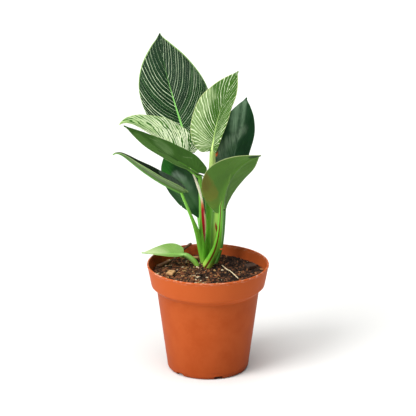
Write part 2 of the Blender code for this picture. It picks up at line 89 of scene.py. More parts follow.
# Edges of the pot that turn by more than this, in degrees, stay sharp
SHARP_ANGLE = 32
DRAIN_COUNT = 6
DRAIN_FIRST_ANGLE = -75.0
DRAIN_GAP_WIDTH = 8.0
DRAIN_GAP_HEIGHT = 3.0
DRAIN_GAP_REACH = 14.0
DRAIN_GAP_CORNER = 1.4
DRAIN_HOLE_RADIUS = 3.5
DRAIN_HOLE_CENTRE = 25.0

# Soil: its level, the height and size of its lumps and of the grain on them, how far it stands off the
# wall, how it dips towards it and how it is heaped round the plant
SOIL_LEVEL = 87.0
SOIL_LUMPS = 1.4
SOIL_LUMP_SIZE = 9.0
SMALL_LUMP_SIZE = 4.0
SOIL_GRAIN = 0.55
SOIL_GRAIN_SIZE = 2.2
SOIL_GAP = 0.3
DIP_WIDTH = 3.0
DIP_DEPTH = 1.2
HEAP_HEIGHT = 3.0
HEAP_SPREAD = 17.0
CROWN_CENTRE = (-0.5, 20.0)
SOIL_SEGMENTS = 144
SOIL_CUTS = 70

# Loose crumbs: their radii, how much longer some are, how lumpy, how flat, how far each stands up and
# how steeply it leans, in radians
CRUMBS = 5400
CRUMB_BATCHES = 90
CRUMB_SIZES = (0.4, 0.5, 0.7, 0.9, 1.3)
CRUMB_STRETCHES = (1.0, 1.0, 1.3, 2.2)
CRUMB_LUMPS = (0.75, 1.2)
CRUMB_FLATNESS = 0.75
CRUMB_RISE = 0.25
CRUMB_LEAN = 0.5
# Their colours, and how many of each in a hundred at the left and at the right, painted light and shade:
# lighter crumbs on the lit left and darker ones on the right, in the leaves' shade. The lighter part
# ends between these two places
CRUMB_COLOURS = (("22160F", 18, 48), ("3A281C", 22, 26), ("5A3A26", 22, 14), ("7A4A2E", 16, 7),
                 ("8E5C38", 12, 3), ("AE8858", 7, 1.5), ("D4C4A0", 3, 0.5))
LIT_UP_TO = (-10, 20)

# Blades: their grid, how far the lobes reach back as a share of the length, their thickness, the ridge
# of the midrib below, the groove above it and the quilting between the side veins
ROWS = 132
COLUMNS = 44
MIDRIB_STEPS = 96
LOBE_REACH = 0.1
BLADE_THICK = 0.8
TIP_THINNER = 0.25
MARGIN_THINNER = 0.6
BLADE_RIB = 2.4
RIB_REACH = 1.5
RIB_LOWER = 0.75
GROOVE_DEPTH = 0.45
GROOVE_REACH = 1.3
QUILT_DEPTH = 0.14
QUILT_VEINS = 13
# Waves along a margin, and how far the right half's run ahead of the left half's, in radians
WAVES = 2.3
WAVE_LEAD = 1.3
# How soon a midrib that starts to one side is back in the middle
LEAN_ENDS = 3.5
# Where a side vein bows to, as shares of its way along the blade and out to the margin
SIDE_VEIN_BOW = (0.3, 0.8)

# Where each side vein meets the margin, as fractions of the length and of the half width, and where
# it leaves the midrib, as a fraction of the length, from the stalk round to the tip
VEINS = (
    (-0.055, 0.16, 0.000),
    (-0.070, 0.46, 0.006),
    (0.010, 0.77, 0.016),
    (0.150, 0.95, 0.038),
    (0.340, 1.00, 0.090),
    (0.560, 0.88, 0.190),
    (0.750, 0.62, 0.345),
    (0.890, 0.29, 0.530),
    (0.955, 0.10, 0.740),
    (1.000, 0.00, 1.000),
)

# Stalks, and how one goes on under the midrib: how far, as a share of the blade, how deep below the
# upper face it ends, and its radius there
SLEEVE_SIDES = 24
STALK_STATIONS = 64
RIBBON_STATIONS = 40
RUN_UNDER = 0.2
END_DEPTH = 1.1
END_RADIUS = 0.4

# The dry sheath on the olive leaf's stalk, from and to fractions of that stalk, how far it stands to
# the right of the stalk's middle and above it, and its half widths, all from its foot to its tip, then
# how far it stands clear of the stalk
SHEATH_SPAN = (0.26, 0.97)
SHEATH_WAY = ((1.6, 0), (2.0, 0), (1.9, 0), (1.3, 0), (0.4, 1), (-2.6, 4.5), (-8.5, 11.2))
SHEATH_WIDTHS = ((0.1,), (1.4,), (1.8,), (1.4,), (0.95,), (1.25,), (0.1,))
SHEATH_CLEAR = 0.5

# The wing of the front leaf's stalk, from and to fractions of that stalk, how far its middle stands to
# the left, its half widths, and how far behind the stalk's middle it stands
WING_SPAN = (0.3, 0.99)
WING_WAY = ((1.0,), (2.7,), (3.5,), (4.1,), (4.5,), (4.6,))
WING_WIDTHS = ((0.1,), (2.4,), (3.3,), (3.8,), (4.0,), (3.0,))
WING_BEHIND = 0.3

# The twig and the root fibre: name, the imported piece, points along it and radius
FIBRES = (
    ("broken_twig", "twig_back", ((-31, 34, 88), (-24, 39, 94.5), (-19, 42, 98), (-14.6, 44, 100.6)), 1.2),
    ("thin_root", "root_fibre", ((12, 14, 90.5), (17, 3, 90), (20, -4, 90.8), (27, -17, 88.5)), 0.45),
)

# Dry stubs: name, foot, tip and radius
SPURS = (
    ("spur_striped_stalk", (7.4, 6.5, 194.0), (8.3, 5.5, 199.2), 1.1),
    ("spur_dark_stalk", (9.6, 14.0, 104.4), (13.2, 13.0, 106.2), 0.7),
)


def direction(heading, rise):
    """A unit vector: heading turns from +X towards +Y, and rise goes up from level, in degrees."""
    h, r = math.radians(heading), math.radians(rise)
    return Vector((math.cos(r) * math.cos(h), math.cos(r) * math.sin(h), math.sin(r)))


def curve_through(points, t):
    """A Catmull-Rom curve through tuples of numbers, at t from 0 to 1."""
    last = len(points) - 1
    at = min(max(t, 0.0), 1.0) * last
    i = min(int(at), last - 1)
    f = at - i
    a, b, c, d = (points[min(max(j, 0), last)] for j in (i - 1, i, i + 1, i + 2))
    if i == 0:
        a = [2 * p - q for p, q in zip(b, c)]
    if i == last - 1:
        d = [2 * q - p for p, q in zip(b, c)]
    return [
        0.5 * (2 * q + (r - p) * f + (2 * p - 5 * q + 4 * r - s) * f * f + (3 * q - p - 3 * r + s) * f**3)
        for p, q, r, s in zip(a, b, c, d)
    ]


@lru_cache(maxsize=None)
def vein(t):
    """Where the side vein at t meets the margin, and where it leaves the midrib."""
    return curve_through(VEINS, t)


def ease(low, high, value):
    """0 before low, 1 past high and smooth between. high may be the lower of the two."""
    f = min(max((value - low) / (high - low), 0.0), 1.0)
    return f * f * (3 - 2 * f)


@dataclass
class Leaf:
    """A blade: where its stalk ends, which way its midrib runs, and how it is folded and bent.

    Bend, sway and twist turn it evenly from base to tip, in degrees, and curl turns it late, the later
    the higher hook is. Folds, halves and lobes are given for the left half first. The margin is made
    fuller or slimmer between base and tip, more pointed at the tip, and longer or shorter in its
    lobes, and waves by wave mm. lean is how far the midrib's foot stands right of the blade's middle.
    """

    name: str
    base: tuple
    length: float
    width: float
    heading: float
    rise: float
    bend: float = 0.0
    curl: float = 0.0
    hook: float = 6.0
    sway: float = 0.0
    roll: float = 0.0
    twist: float = 0.0
    fold: tuple = (20, 20)
    fold_tip: tuple = None
    full: float = 0.0
    slim: float = 0.0
    point: float = 0.0
    wave: float = 0.8
    halves: tuple = (1.0, 1.0)
    lobes: tuple = (1.0, 1.0)
    rib: float = BLADE_RIB
    bow: tuple = SIDE_VEIN_BOW
    lean: float = 0.0

    def __post_init__(self):
        """Walks along the midrib from behind the stalk to the tip."""
        start = -LOBE_REACH * self.length
        self.step = (self.length - start) / MIDRIB_STEPS
        self.start = start
        spots = [Vector((0, 0, 0))]
        for i in range(MIDRIB_STEPS):
            spots.append(spots[-1] + self.axes(start + (i + 0.5) * self.step)[0] * self.step)
        self.spots = spots
        shift = Vector(self.base) - self.spot(0)
        self.spots = [p + shift for p in spots]

    def spot(self, x):
        """The midrib's point at x along it."""
        at = min(max((x - self.start) / self.step, 0.0), MIDRIB_STEPS - 1e-6)
        i = int(at)
        return self.spots[i].lerp(self.spots[i + 1], at - i)

    def share(self, x):
        """How far along the blade x is: 0 at the stalk and behind it, 1 at the tip."""
        return min(max(x / self.length, 0.0), 1.0)

    def middle(self, x):
        """How far the midrib stands to the right at x: most at its foot, and not at all at the tip."""
        return self.lean * (1 - self.share(x)) ** LEAN_ENDS

    def foot(self):
        """Where the midrib starts, at the stalk's end."""
        return self.spot(0) + self.axes(0)[2] * self.middle(0)

    def axes(self, x):
        """Along the midrib, out of the upper face, and towards the right margin."""
        s = self.share(x)
        rise = self.rise + self.bend * s + self.curl * s**self.hook
        heading = self.heading + self.sway * s
        along = direction(heading, rise)
        up = direction(heading, rise + 90)
        side = along.cross(up)
        turn = math.radians(self.roll + self.twist * s)
        face = up * math.cos(turn) + side * math.sin(turn)
        return along, face, side * math.cos(turn) - up * math.sin(turn)

    def flat(self, t, v):
        """The flat blade at vein t, 0 at the stalk and 1 at the tip, and v, -1 and 1 at the margins:
        how far along, and how far to the right of the midrib."""
        end, half, root = vein(t)
        end *= self.lobes[1 if v > 0 else 0] if end < 0 else 1
        end += self.full * math.sin(math.pi * max(end, 0))
        half *= (1 - self.slim * (1 - max(end, 0)) ** 3) * (1 - self.point * max(end, 0) ** 2)
        half *= self.halves[1 if v > 0 else 0]
        x0, x2 = root * self.length, end * self.length
        y0, y2 = self.middle(x0), math.copysign(half * self.width / 2, v)
        a = abs(v)
        x1, y1 = x0 + self.bow[0] * (x2 - x0), y0 + self.bow[1] * (y2 - y0)
        x = (1 - a) ** 2 * x0 + 2 * a * (1 - a) * x1 + a * a * x2
        y = (1 - a) ** 2 * y0 + 2 * a * (1 - a) * y1 + a * a * y2
        return x, y - self.middle(x)

    def at(self, t, v):
        """The upper face at vein t and v, in space, with its side veins a little sunk."""
        x, y = self.flat(t, v)
        _, face, side = self.axes(x)
        s = self.share(x)
        hand = 1 if y > 0 else 0
        tip = self.fold_tip or self.fold
        fold = math.radians(self.fold[hand] + (tip[hand] - self.fold[hand]) * s)
        out = abs(y)
        turn = 2 * math.pi * WAVES * s + WAVE_LEAD * hand
        ripple = self.wave * math.sin(turn) * math.sin(math.pi * s) * (2 * out / self.width) ** 2
        lift = out * math.sin(fold) + ripple + self.relief(t, s, v, out)
        right = self.middle(x) + math.copysign(out * math.cos(fold), y)
        return self.spot(x) + side * right + face * lift

    def relief(self, t, s, v, out):
        """The groove over the midrib and the quilting between the side veins."""
        groove = GROOVE_DEPTH * (1 - s) * math.exp(-((out / GROOVE_REACH) ** 2))
        sunk = abs(math.cos(math.pi * QUILT_VEINS * t)) ** 8 * math.sin(math.pi * min(abs(v), 1))
        return -groove - QUILT_DEPTH * sunk

    def thickness(self, x, out):
        """The blade's thickness, with the midrib's ridge below."""
        s = self.share(x)
        rib = (self.rib - BLADE_THICK) * (1 - RIB_LOWER * s) * math.exp(-((out / RIB_REACH) ** 2))
        return BLADE_THICK * (1 - TIP_THINNER * s) + rib


@dataclass
class Stalk:
    """A leaf's stalk: its foot, the directions it leaves and arrives in, how far each of them holds as a
    share of its span, and its radii upwards.

    Its knee turns it along the midrib, bend mm before the blade, drop mm below the blade's upper face
    and aside mm to the right of it.
    """

    foot: tuple
    leaves: tuple
    arrives: tuple
    reach: tuple
    radii: tuple
    bend: float = 4.0
    drop: float = 1.8
    aside: float = 0.0

    def knee(self, leaf):
        """Where the stalk starts to turn under the blade."""
        along, face, _ = leaf.axes(0)
        return leaf.foot() - face * self.drop - along * self.bend + Vector((self.aside, 0, 0))

    def climb(self, leaf, t):
        """The stalk's centre line from the foot at 0 to the knee at 1."""
        knee = self.knee(leaf)
        foot = Vector(self.foot)
        span = (knee - foot).length
        first = foot + direction(*self.leaves) * span * self.reach[0]
        second = knee - direction(*self.arrives) * span * self.reach[1]
        outer = (1 - t) ** 3 * foot + t**3 * knee
        return outer + 3 * t * (1 - t) * ((1 - t) * first + t * second)

    def radius(self, t):
        """The stalk's radius at t from the foot to the knee."""
        return curve_through([(r,) for r in self.radii], t)[0]


LEAVES = {
    "tall": Leaf("leaf_tall_back", (-9.9, 37, 194.6), 110, 69, 146, 54, sway=-47.5, roll=-28,
                 fold=(15, 15), full=-0.02, slim=0.39, lobes=(0.5, 0.5), wave=1.2, lean=-8.6),
    "striped": Leaf("leaf_striped_front", (4, 12, 200.4), 74, 45, 75, 63.5, bend=-19, sway=-31,
                    roll=-4, fold=(34, 54), fold_tip=(18, 5), bow=(0.5, 0.62)),
    "cream": Leaf("leaf_cream_left", (-16, 16, 193.6), 71, 43, 185, 32, curl=-80, hook=9, roll=-23,
                  fold=(22, 22), point=0.3, halves=(0.55, 1.0)),
    "olive": Leaf("leaf_olive_left", (-9.3, -7, 183.2), 79.5, 40, 190, 33.6, bend=5, roll=2, twist=4,
                  fold=(10, 37), fold_tip=(-28, 20), full=-0.04, slim=-0.22, lobes=(0.7, 1.6),
                  halves=(1.0, 0.88), wave=0.4),
    "narrow": Leaf("leaf_narrow_left", (-24.1, -12, 168.6), 71.5, 33, 190, 26, bend=22.7, curl=-95,
                   hook=14, roll=-1, fold=(26, 19), point=0.35, full=-0.09, wave=0.3),
    "front": Leaf("leaf_front_right", (12.6, -15, 153.4), 68, 58, -20, 92, bend=-72, sway=-2, roll=-48,
                  twist=7, fold=(35, 11), fold_tip=(-10, -15), full=0.03, slim=0.57, lobes=(0.78, 0.78),
                  halves=(0.71, 1.0), wave=0.3),
    "dark": Leaf("leaf_dark_right", (14.4, 27, 151.6), 91, 45.5, 60, 59, roll=-10, twist=7, sway=10,
                 fold=(20, 18), full=0.05, slim=0.66, wave=1.0),
    "low": Leaf("leaf_low_left", (-7.4, 7.5, 142.6), 62, 31, 183, 60.5, roll=-80, fold=(6, 10),
                full=0.14, slim=0.5, wave=0.6),
    "small": Leaf("leaf_small_base", (-22.5, 16, 99.7), 36.5, 24, 178, 2, roll=-36, fold=(43, 15),
                  full=-0.1, slim=0.3, lobes=(0.26, 0.26), point=0.5, wave=0.2, rib=1.5),
}

STALKS = {
    "tall": Stalk((-0.5, 27.5, 84), (90, 86), (180, 86), (0.4, 0.35), (2.8, 3.0, 2.3, 2.0), 2.0),
    "striped": Stalk((3.0, 23, 84), (180, 84), (60, 88), (0.5, 0.3), (2.7, 3.3, 4.4, 3.2, 2.7)),
    "cream": Stalk((-3, 28, 84), (90, 88), (180, 86), (0.4, 0.35), (2.6, 2.8, 2.1, 2.0), 1.0),
    "olive": Stalk((-3, 21, 84), (250, 78), (220, 86), (0.4, 0.25), (2.6, 2.8, 2.1, 2.0)),
    "narrow": Stalk((-3.2, 21, 86), (215, 82), (160, 68), (0.4, 0.3), (2.9, 3.3, 2.5, 1.6, 1.3, 1.3),
                    1.5, 1.3),
    "front": Stalk((-2.4, 11.5, 88), (-8, 58), (0, 88), (0.3, 0.4), (4.7, 4.0, 3.3, 2.5, 2.0), 2.0, 1.0,
                   -1.5),
    "dark": Stalk((3.5, 21, 84), (0, 62), (60, 86), (0.3, 0.3), (2.6, 2.8, 2.2, 2.0)),
    "low": Stalk((0, 26, 84), (230, 78), (200, 80), (0.4, 0.3), (2.2, 2.3, 1.8, 1.3), 4.0, 2.6),
    "small": Stalk((-8, 15.5, 84), (195, 80), (180, 25), (0.42, 0.35), (1.9, 2.2, 2.4, 2.5), 3.0, 1.6),
}


def srgb(hex_colour):
    """An sRGB hex colour as linear red, green, blue and alpha."""
    parts = [int(hex_colour[i : i + 2], 16) / 255 for i in (0, 2, 4)]
    return [c / 12.92 if c <= 0.04045 else ((c + 0.055) / 1.055) ** 2.4 for c in parts] + [1.0]


def add_node(tree, kind, feeds=(), mode=None, **settings):
    """Adds a node. feeds, in order or by name, link a node or socket to an input or set its value.

    mode is a sum's operation, or how a range is eased. A noise takes, in order, where it is read, its
    scale, detail and roughness.
    """
    made = tree.nodes.new("ShaderNode" + kind)
    if mode:
        setattr(made, "interpolation_type" if kind == "MapRange" else "operation", mode)
    for key, value in settings.items():
        setattr(made, key, value)
    inputs = [s for s in made.inputs if s.enabled]
    named = {s.name: s for s in reversed(inputs)}
    for key, value in feeds.items() if isinstance(feeds, dict) else enumerate(feeds):
        if value is None:
            continue
        socket = named[key] if isinstance(key, str) else inputs[key]
        if isinstance(value, bpy.types.Node):
            value = next(s for s in value.outputs if s.enabled)
        if isinstance(value, bpy.types.NodeSocket):
            tree.links.new(value, socket)
        else:
            socket.default_value = value
    return made


def material(name):
    """An empty node material, and the function that adds a node to it."""
    made = bpy.data.materials.new(name)
    made.use_nodes = True
    made.node_tree.nodes.clear()
    return made, partial(add_node, made.node_tree)


def layered(add, colour, *layers):
    """Lays tints over a colour, each by its own mask."""
    for mask, tint in layers:
        under, over = (srgb(c) if isinstance(c, str) else c for c in (colour, tint))
        colour = add("Mix", (mask, under, over), data_type="RGBA")
    return colour


def surface(add, colour, rough, gloss=0.5, height=None, depth=0.1):
    """Ends a material: its skin, and bump from height over depth mm."""
    feeds = {"Base Color": colour, "Roughness": rough, "Specular IOR Level": gloss}
    if height is not None:
        feeds["Normal"] = add("Bump", {"Height": height, "Distance": depth * MM, "Strength": 1.0})
    add("OutputMaterial", (add("BsdfPrincipled", feeds),))


def apart(add, value, other):
    """How far one number is from another."""
    return add("Math", (add("Math", (value, other), "SUBTRACT"),), "ABSOLUTE")


def soft_line(add, away, width, strength=1.0, mode="SMOOTHSTEP"):
    """A mask of a line: whole up to half of width away from its middle, and gone at width."""
    inner = add("Math", (width, 0.5), "MULTIPLY")
    return add("MapRange", (away, inner, width, strength, 0.0), mode)


@dataclass
class Mark:
    """A mark on a blade: a tint within core mm of a line drawn on the flat blade, gone past edge mm.

    Its share is strength, its outline is ragged by rag mm, and veiny breaks it up along the veins.
    It is on the upper face, or else below.
    """

    points: tuple
    core: float
    edge: float
    tint: str
    strength: float = 0.5
    rag: float = 0.0
    veiny: float = 0.0
    below: bool = False


@dataclass
class BladeLook:
    """How a blade is coloured: the colours of its parts, then its stripes, sheen and marks.

    count is the broad stripes on half a blade, and their widths are shares of their spacing. more gives
    how much wider they are by the stalk and at the tip, and finer how many more of them the right half
    has. Hairs are the fine stripes between, hair_more times as many.
    """

    ground: str
    shade: str
    stripe: str
    hair: str
    midrib: str
    edge: str
    under: str
    tip: str = None
    tip_from: tuple = (0.4, 0.9)
    count: float = 34
    finer: float = 1.0
    width: tuple = (0.0, 0.35)
    more: tuple = (1.0, 1.0)
    strength: float = 1.0
    hair_strength: float = 0.5
    hair_more: float = 2.3
    wobble: float = 0.5
    least: float = 0.1
    rough: float = 0.4
    gloss: float = 0.2
    midrib_width: float = 1.3
    midrib_fades: tuple = (0.9, 1.0)
    under_midrib: str = None
    marks: tuple = ()
    seed: float = 0.0


def blade_plan(add, seed):
    """Where a point of the blade is: its vein, its half, how far out, and its place on the flat blade."""
    vein_at, across, _ = add("SeparateXYZ", (add("UVMap", uv_map="veins"),)).outputs
    long, wide, _ = add("SeparateXYZ", (add("UVMap", uv_map="flat"),)).outputs
    side = add("Math", (across, 0.5), "GREATER_THAN")
    out = add("Math", (across, 2.0, -1.0), "MULTIPLY_ADD")
    out = add("Math", (out,), "ABSOLUTE")
    return vein_at, side, out, add("CombineXYZ", (long, wide, seed))


def near_line(add, plan, mark):
    """A mask of how near a point is to the line of a mark, in millimetres on the flat blade."""
    place = add("VectorMath", (plan, (PLAN, PLAN, 0)), "MULTIPLY")
    nearest = None
    for start, end in zip(mark.points, mark.points[1:]):
        step = Vector((end[0] - start[0], end[1] - start[1], 0))
        away = add("VectorMath", (place, (*start, 0)), "SUBTRACT")
        share = add("VectorMath", (away, tuple(step / step.dot(step))), "DOT_PRODUCT")
        share = add("MapRange", (share, 0.0, 1.0, 0.0, 1.0))
        foot = add("VectorMath", {"Vector": tuple(step), "Scale": share}, "SCALE")
        away = add("VectorMath", (away, foot), "DISTANCE")
        nearest = add("Math", (nearest, away), "MINIMUM") if nearest else away
    if mark.rag:
        # Ragged in steps of about 4.5 mm
        uneven = add("TexNoise", (plan, PLAN / 4.545, 3.0))
        nearest = add("Math", (uneven, 2 * mark.rag, nearest), "MULTIPLY_ADD")
        nearest = add("Math", (nearest, mark.rag), "SUBTRACT")
    return add("MapRange", (nearest, mark.core, mark.edge, mark.strength, 0.0), "SMOOTHSTEP")


def mark_layers(add, marks, t, side, out, plan):
    """The marks on one face of a blade, each a mask and its tint."""
    layers = []
    for mark in marks:
        mask = near_line(add, plan, mark)
        if mark.veiny:
            fine, coarse = (add("Math", pair, "MULTIPLY") for pair in ((t, 70.0), (out, 2.5)))
            streaks = add("TexNoise", (add("CombineXYZ", (fine, coarse, side)), 1.0, 3.0))
            streaks = add("MapRange", (streaks, 0.35, 0.65, 1 - mark.veiny, 1.0))
            mask = add("Math", (mask, streaks), "MULTIPLY")
        layers.append((mask, mark.tint))
    return layers


def vein_stripes(add, t, side, out, look, count, width, seed):
    """A mask of stripes that run out along the side veins, each with its own width, sway and breaks."""
    # The halves read the noise, and number their stripes, far apart, so that they differ
    across = add("Math", (side, 9.0, out), "MULTIPLY_ADD")
    lanes = add("MapRange", (side, 0.0, 1.0, count, count * look.finer))
    lanes = add("Math", (t, lanes), "MULTIPLY")
    # Neighbours sway together, and the sway changes over about three stripes
    bend = add("Math", (lanes, 0.3), "MULTIPLY")
    bend = add("CombineXYZ", (bend, add("Math", (across, 2.2), "MULTIPLY"), seed))
    bend = add("TexNoise", (bend, 1.0, 2.0))
    moved = add("Math", (side, 17.3, lanes), "MULTIPLY_ADD")
    moved = add("Math", (bend, 2.6 * look.wobble, moved), "MULTIPLY_ADD")
    lane = add("Math", (moved,), "FLOOR")
    off = apart(add, add("Math", (moved,), "FRACT"), 0.5)
    chance = add("TexWhiteNoise", {"W": add("Math", (lane, seed + 3.7))}, noise_dimensions="1D")
    wide = add("MapRange", (chance, 0.0, 1.0, width[0] / 2, width[1] / 2))
    # Each stripe thins and breaks about six times on its way out
    run = add("CombineXYZ", (add("Math", (across, 6.0), "MULTIPLY"), lane, seed))
    run = add("TexNoise", (run, 1.0, 2.0))
    thin = add("MapRange", (run, 0.3, 0.62, look.least, 1.25))
    wide = add("Math", (wide, thin), "MULTIPLY")
    more = add("MapRange", (t, 0.1, 0.95, *look.more))
    return soft_line(add, off, add("Math", (wide, more), "MULTIPLY"))


def midrib_reach(add, plan):
    """How far a point of the blade is from the midrib, in millimetres."""
    wide = add("SeparateXYZ", (plan,)).outputs[1]
    return add("Math", (add("Math", (wide,), "ABSOLUTE"), PLAN), "MULTIPLY")


def waxy_upper_skin(name, look):
    """Living leaf, waxy above; on some leaves marks paint a sheen on it in broad soft streaks along the
    veins.
    """
    made, add = material(f"{name}_waxy_upper_skin")
    t, side, out, plan = blade_plan(add, look.seed)
    # Blotches of about 12 mm
    blotch = add("TexNoise", (plan, PLAN / 12.5, 3.0))
    blotch = add("MapRange", (blotch, 0.3, 0.7, 0.0, 1.0))
    layers = [(blotch, look.shade)]
    if look.tip:
        layers.append((add("MapRange", (t, *look.tip_from, 0.0, 1.0)), look.tip))
    fine = vein_stripes(add, t, side, out, look, look.count * look.hair_more, (0.1, 0.8), look.seed + 5)
    fine = add("Math", (fine, look.hair_strength), "MULTIPLY")
    broad = vein_stripes(add, t, side, out, look, look.count, look.width, look.seed)
    broad = add("Math", (broad, look.strength), "MULTIPLY")
    # The midrib narrows from the stalk to the tip
    rib_width = add("MapRange", (t, 0.3, 0.9, look.midrib_width, look.midrib_width * 0.2))
    rib = soft_line(add, midrib_reach(add, plan), rib_width)
    rib = add("Math", (rib, add("MapRange", (t, *look.midrib_fades, 1.0, 0.0))), "MULTIPLY")
    marks = mark_layers(add, [m for m in look.marks if not m.below], t, side, out, plan)
    rim = add("MapRange", (out, 0.972, 0.99, 0.0, 0.9))
    colour = layered(add, look.ground, *layers, (fine, look.hair), (broad, look.stripe),
                     (rib, look.midrib), *marks, (rim, look.edge))
    ridges = add("Math", (fine, broad))
    # Grain of 0.8 mm
    grain = add("TexNoise", (plan, PLAN / 0.77, 2.0))
    height = add("Math", (grain, 0.35, ridges), "MULTIPLY_ADD")
    shine = add("MapRange", (blotch, 0.0, 1.0, look.rough - 0.04, look.rough + 0.06))
    surface(add, colour, shine, look.gloss, height, 0.05)
    return made


def dull_lower_skin(name, look):
    """Living leaf, duller below: its stripes show through faintly, and its midrib stands out paler."""
    made, add = material(f"{name}_dull_lower_skin")
    t, side, out, plan = blade_plan(add, look.seed)
    # Blotches of about 17 mm
    blotch = add("TexNoise", (plan, PLAN / 16.67, 4.0))
    shade = add("MapRange", (blotch, 0.3, 0.7, 0.25, 0.0))
    fine = vein_stripes(add, t, side, out, look, look.count * 1.3, (0.2, 0.6), look.seed + 9)
    faint = add("Math", (fine, 0.1), "MULTIPLY")
    rib = add("MapRange", (midrib_reach(add, plan), 0.6, 1.7, 0.8, 0.0), "SMOOTHSTEP")
    marks = mark_layers(add, [m for m in look.marks if m.below], t, side, out, plan)
    rim = add("MapRange", (out, 0.97, 0.99, 0.0, 1.0))
    colour = layered(add, look.under, (shade, "1E3A16"), (faint, look.midrib),
                     (rib, look.under_midrib or look.midrib), *marks, (rim, look.edge))
    # Grain of 0.7 mm
    grain = add("TexNoise", (plan, PLAN / 0.667, 2.0))
    height = add("Math", (grain, 0.5, fine), "MULTIPLY_ADD")
    surface(add, colour, look.rough + 0.12, look.gloss, height, 0.04)
    return made


def streaked_map(add, lanes, **noise_settings):
    """How far along a sleeve and round it a point is, and streaks along it, finer with more lanes."""
    along, around, _ = add("SeparateXYZ", (add("UVMap", uv_map="along"),)).outputs
    lane = add("CombineXYZ", (along, add("Math", (around, lanes), "MULTIPLY")))
    return along, around, add("TexNoise", {"Vector": lane, **noise_settings})


def stalk_skin(name, foot, low, high, turns=(0.1, 0.8), seam=None):
    """Living stalk: smooth and satin, pale where it leaves the soil, with fine streaks along it."""
    made, add = material(f"{name}_satin_stalk_skin")
    along, around, streaks = streaked_map(add, 16.0, Scale=2.2, Detail=4.0, Roughness=0.6)
    layers = [
        (add("MapRange", (along, *turns, 0.0, 1.0)), high),
        (add("MapRange", (streaks, 0.42, 0.68, 0.0, 0.4)), "3A8028"),
        (add("MapRange", (along, 0.06, 0.15, 1.0, 0.0), "SMOOTHSTEP"), foot),
    ]
    if seam:
        at, width, tint = seam
        turned = add("Math", (add("Math", (around, at - 0.5), "SUBTRACT"),), "FRACT")
        layers.append((soft_line(add, apart(add, turned, 0.5), width, mode="LINEAR"), tint))
    surface(add, layered(add, low, *layers), 0.36, 0.25, streaks, 0.12)
    return made


def dry_sheath_skin():
    """A dried leaf sheath: papery, dark red low down, orange above and bleached to cream at its tip."""
    made, add = material("dry_papery_sheath")
    along, around, streaks = streaked_map(add, 9.0, Scale=3.0, Detail=3.0)
    worn = add("Math", (streaks, 0.16, along), "MULTIPLY_ADD")
    # A bleached margin low down on the side towards the next stalk
    margin = add("MapRange", (around, 0.17, 0.22, 0.85, 0.0))
    low_down = add("MapRange", (along, 0.4, 0.5, 1.0, 0.0))
    colour = layered(
        add, "6A0812",
        (add("MapRange", (along, 0.0, 0.3, 0.0, 1.0)), "B81828"),
        (add("MapRange", (worn, 0.58, 0.64, 0.0, 1.0)), "D87840"),
        (add("MapRange", (worn, 0.66, 0.76, 0.0, 1.0)), "FFFCDC"),
        (add("Math", (margin, low_down), "MULTIPLY"), "F0D8A8"),
    )
    surface(add, colour, 0.42, 0.3, streaks, 0.15)
    return made


def wing_skin():
    """Living stalk tissue, thin enough to look yellow-green, with painted shade towards its free edge."""
    made, add = material("thin_yellow_green_wing")
    along, around, streaks = streaked_map(add, 12.0, Scale=3.0, Detail=3.0)
    tone = add("MapRange", (streaks, 0.35, 0.65, 0.0, 1.0))
    # Painted shade towards the free edge
    painted_shade_edge = add("MapRange", (around, 0.25, 0.34, 0.0, 0.85))
    # A dark red slit part of the way up, which leans away from the stalk as it climbs
    slit_at, slit_lean, slit_side = 0.71, -0.32, 0.215
    leaning = add("Math", (add("Math", (along, slit_at), "SUBTRACT"), slit_lean, around), "MULTIPLY_ADD")
    open_by = add("MapRange", (apart(add, along, slit_at), 0.03, 0.11, 0.05, 0.0))
    scar = soft_line(add, apart(add, leaning, slit_side), open_by, 0.95, "LINEAR")
    colour = layered(add, "82AC40", (tone, "9CC858"), (painted_shade_edge, "3A6C22"), (scar, "7A0C14"))
    surface(add, colour, 0.4, 0.25, streaks, 0.1)
    return made


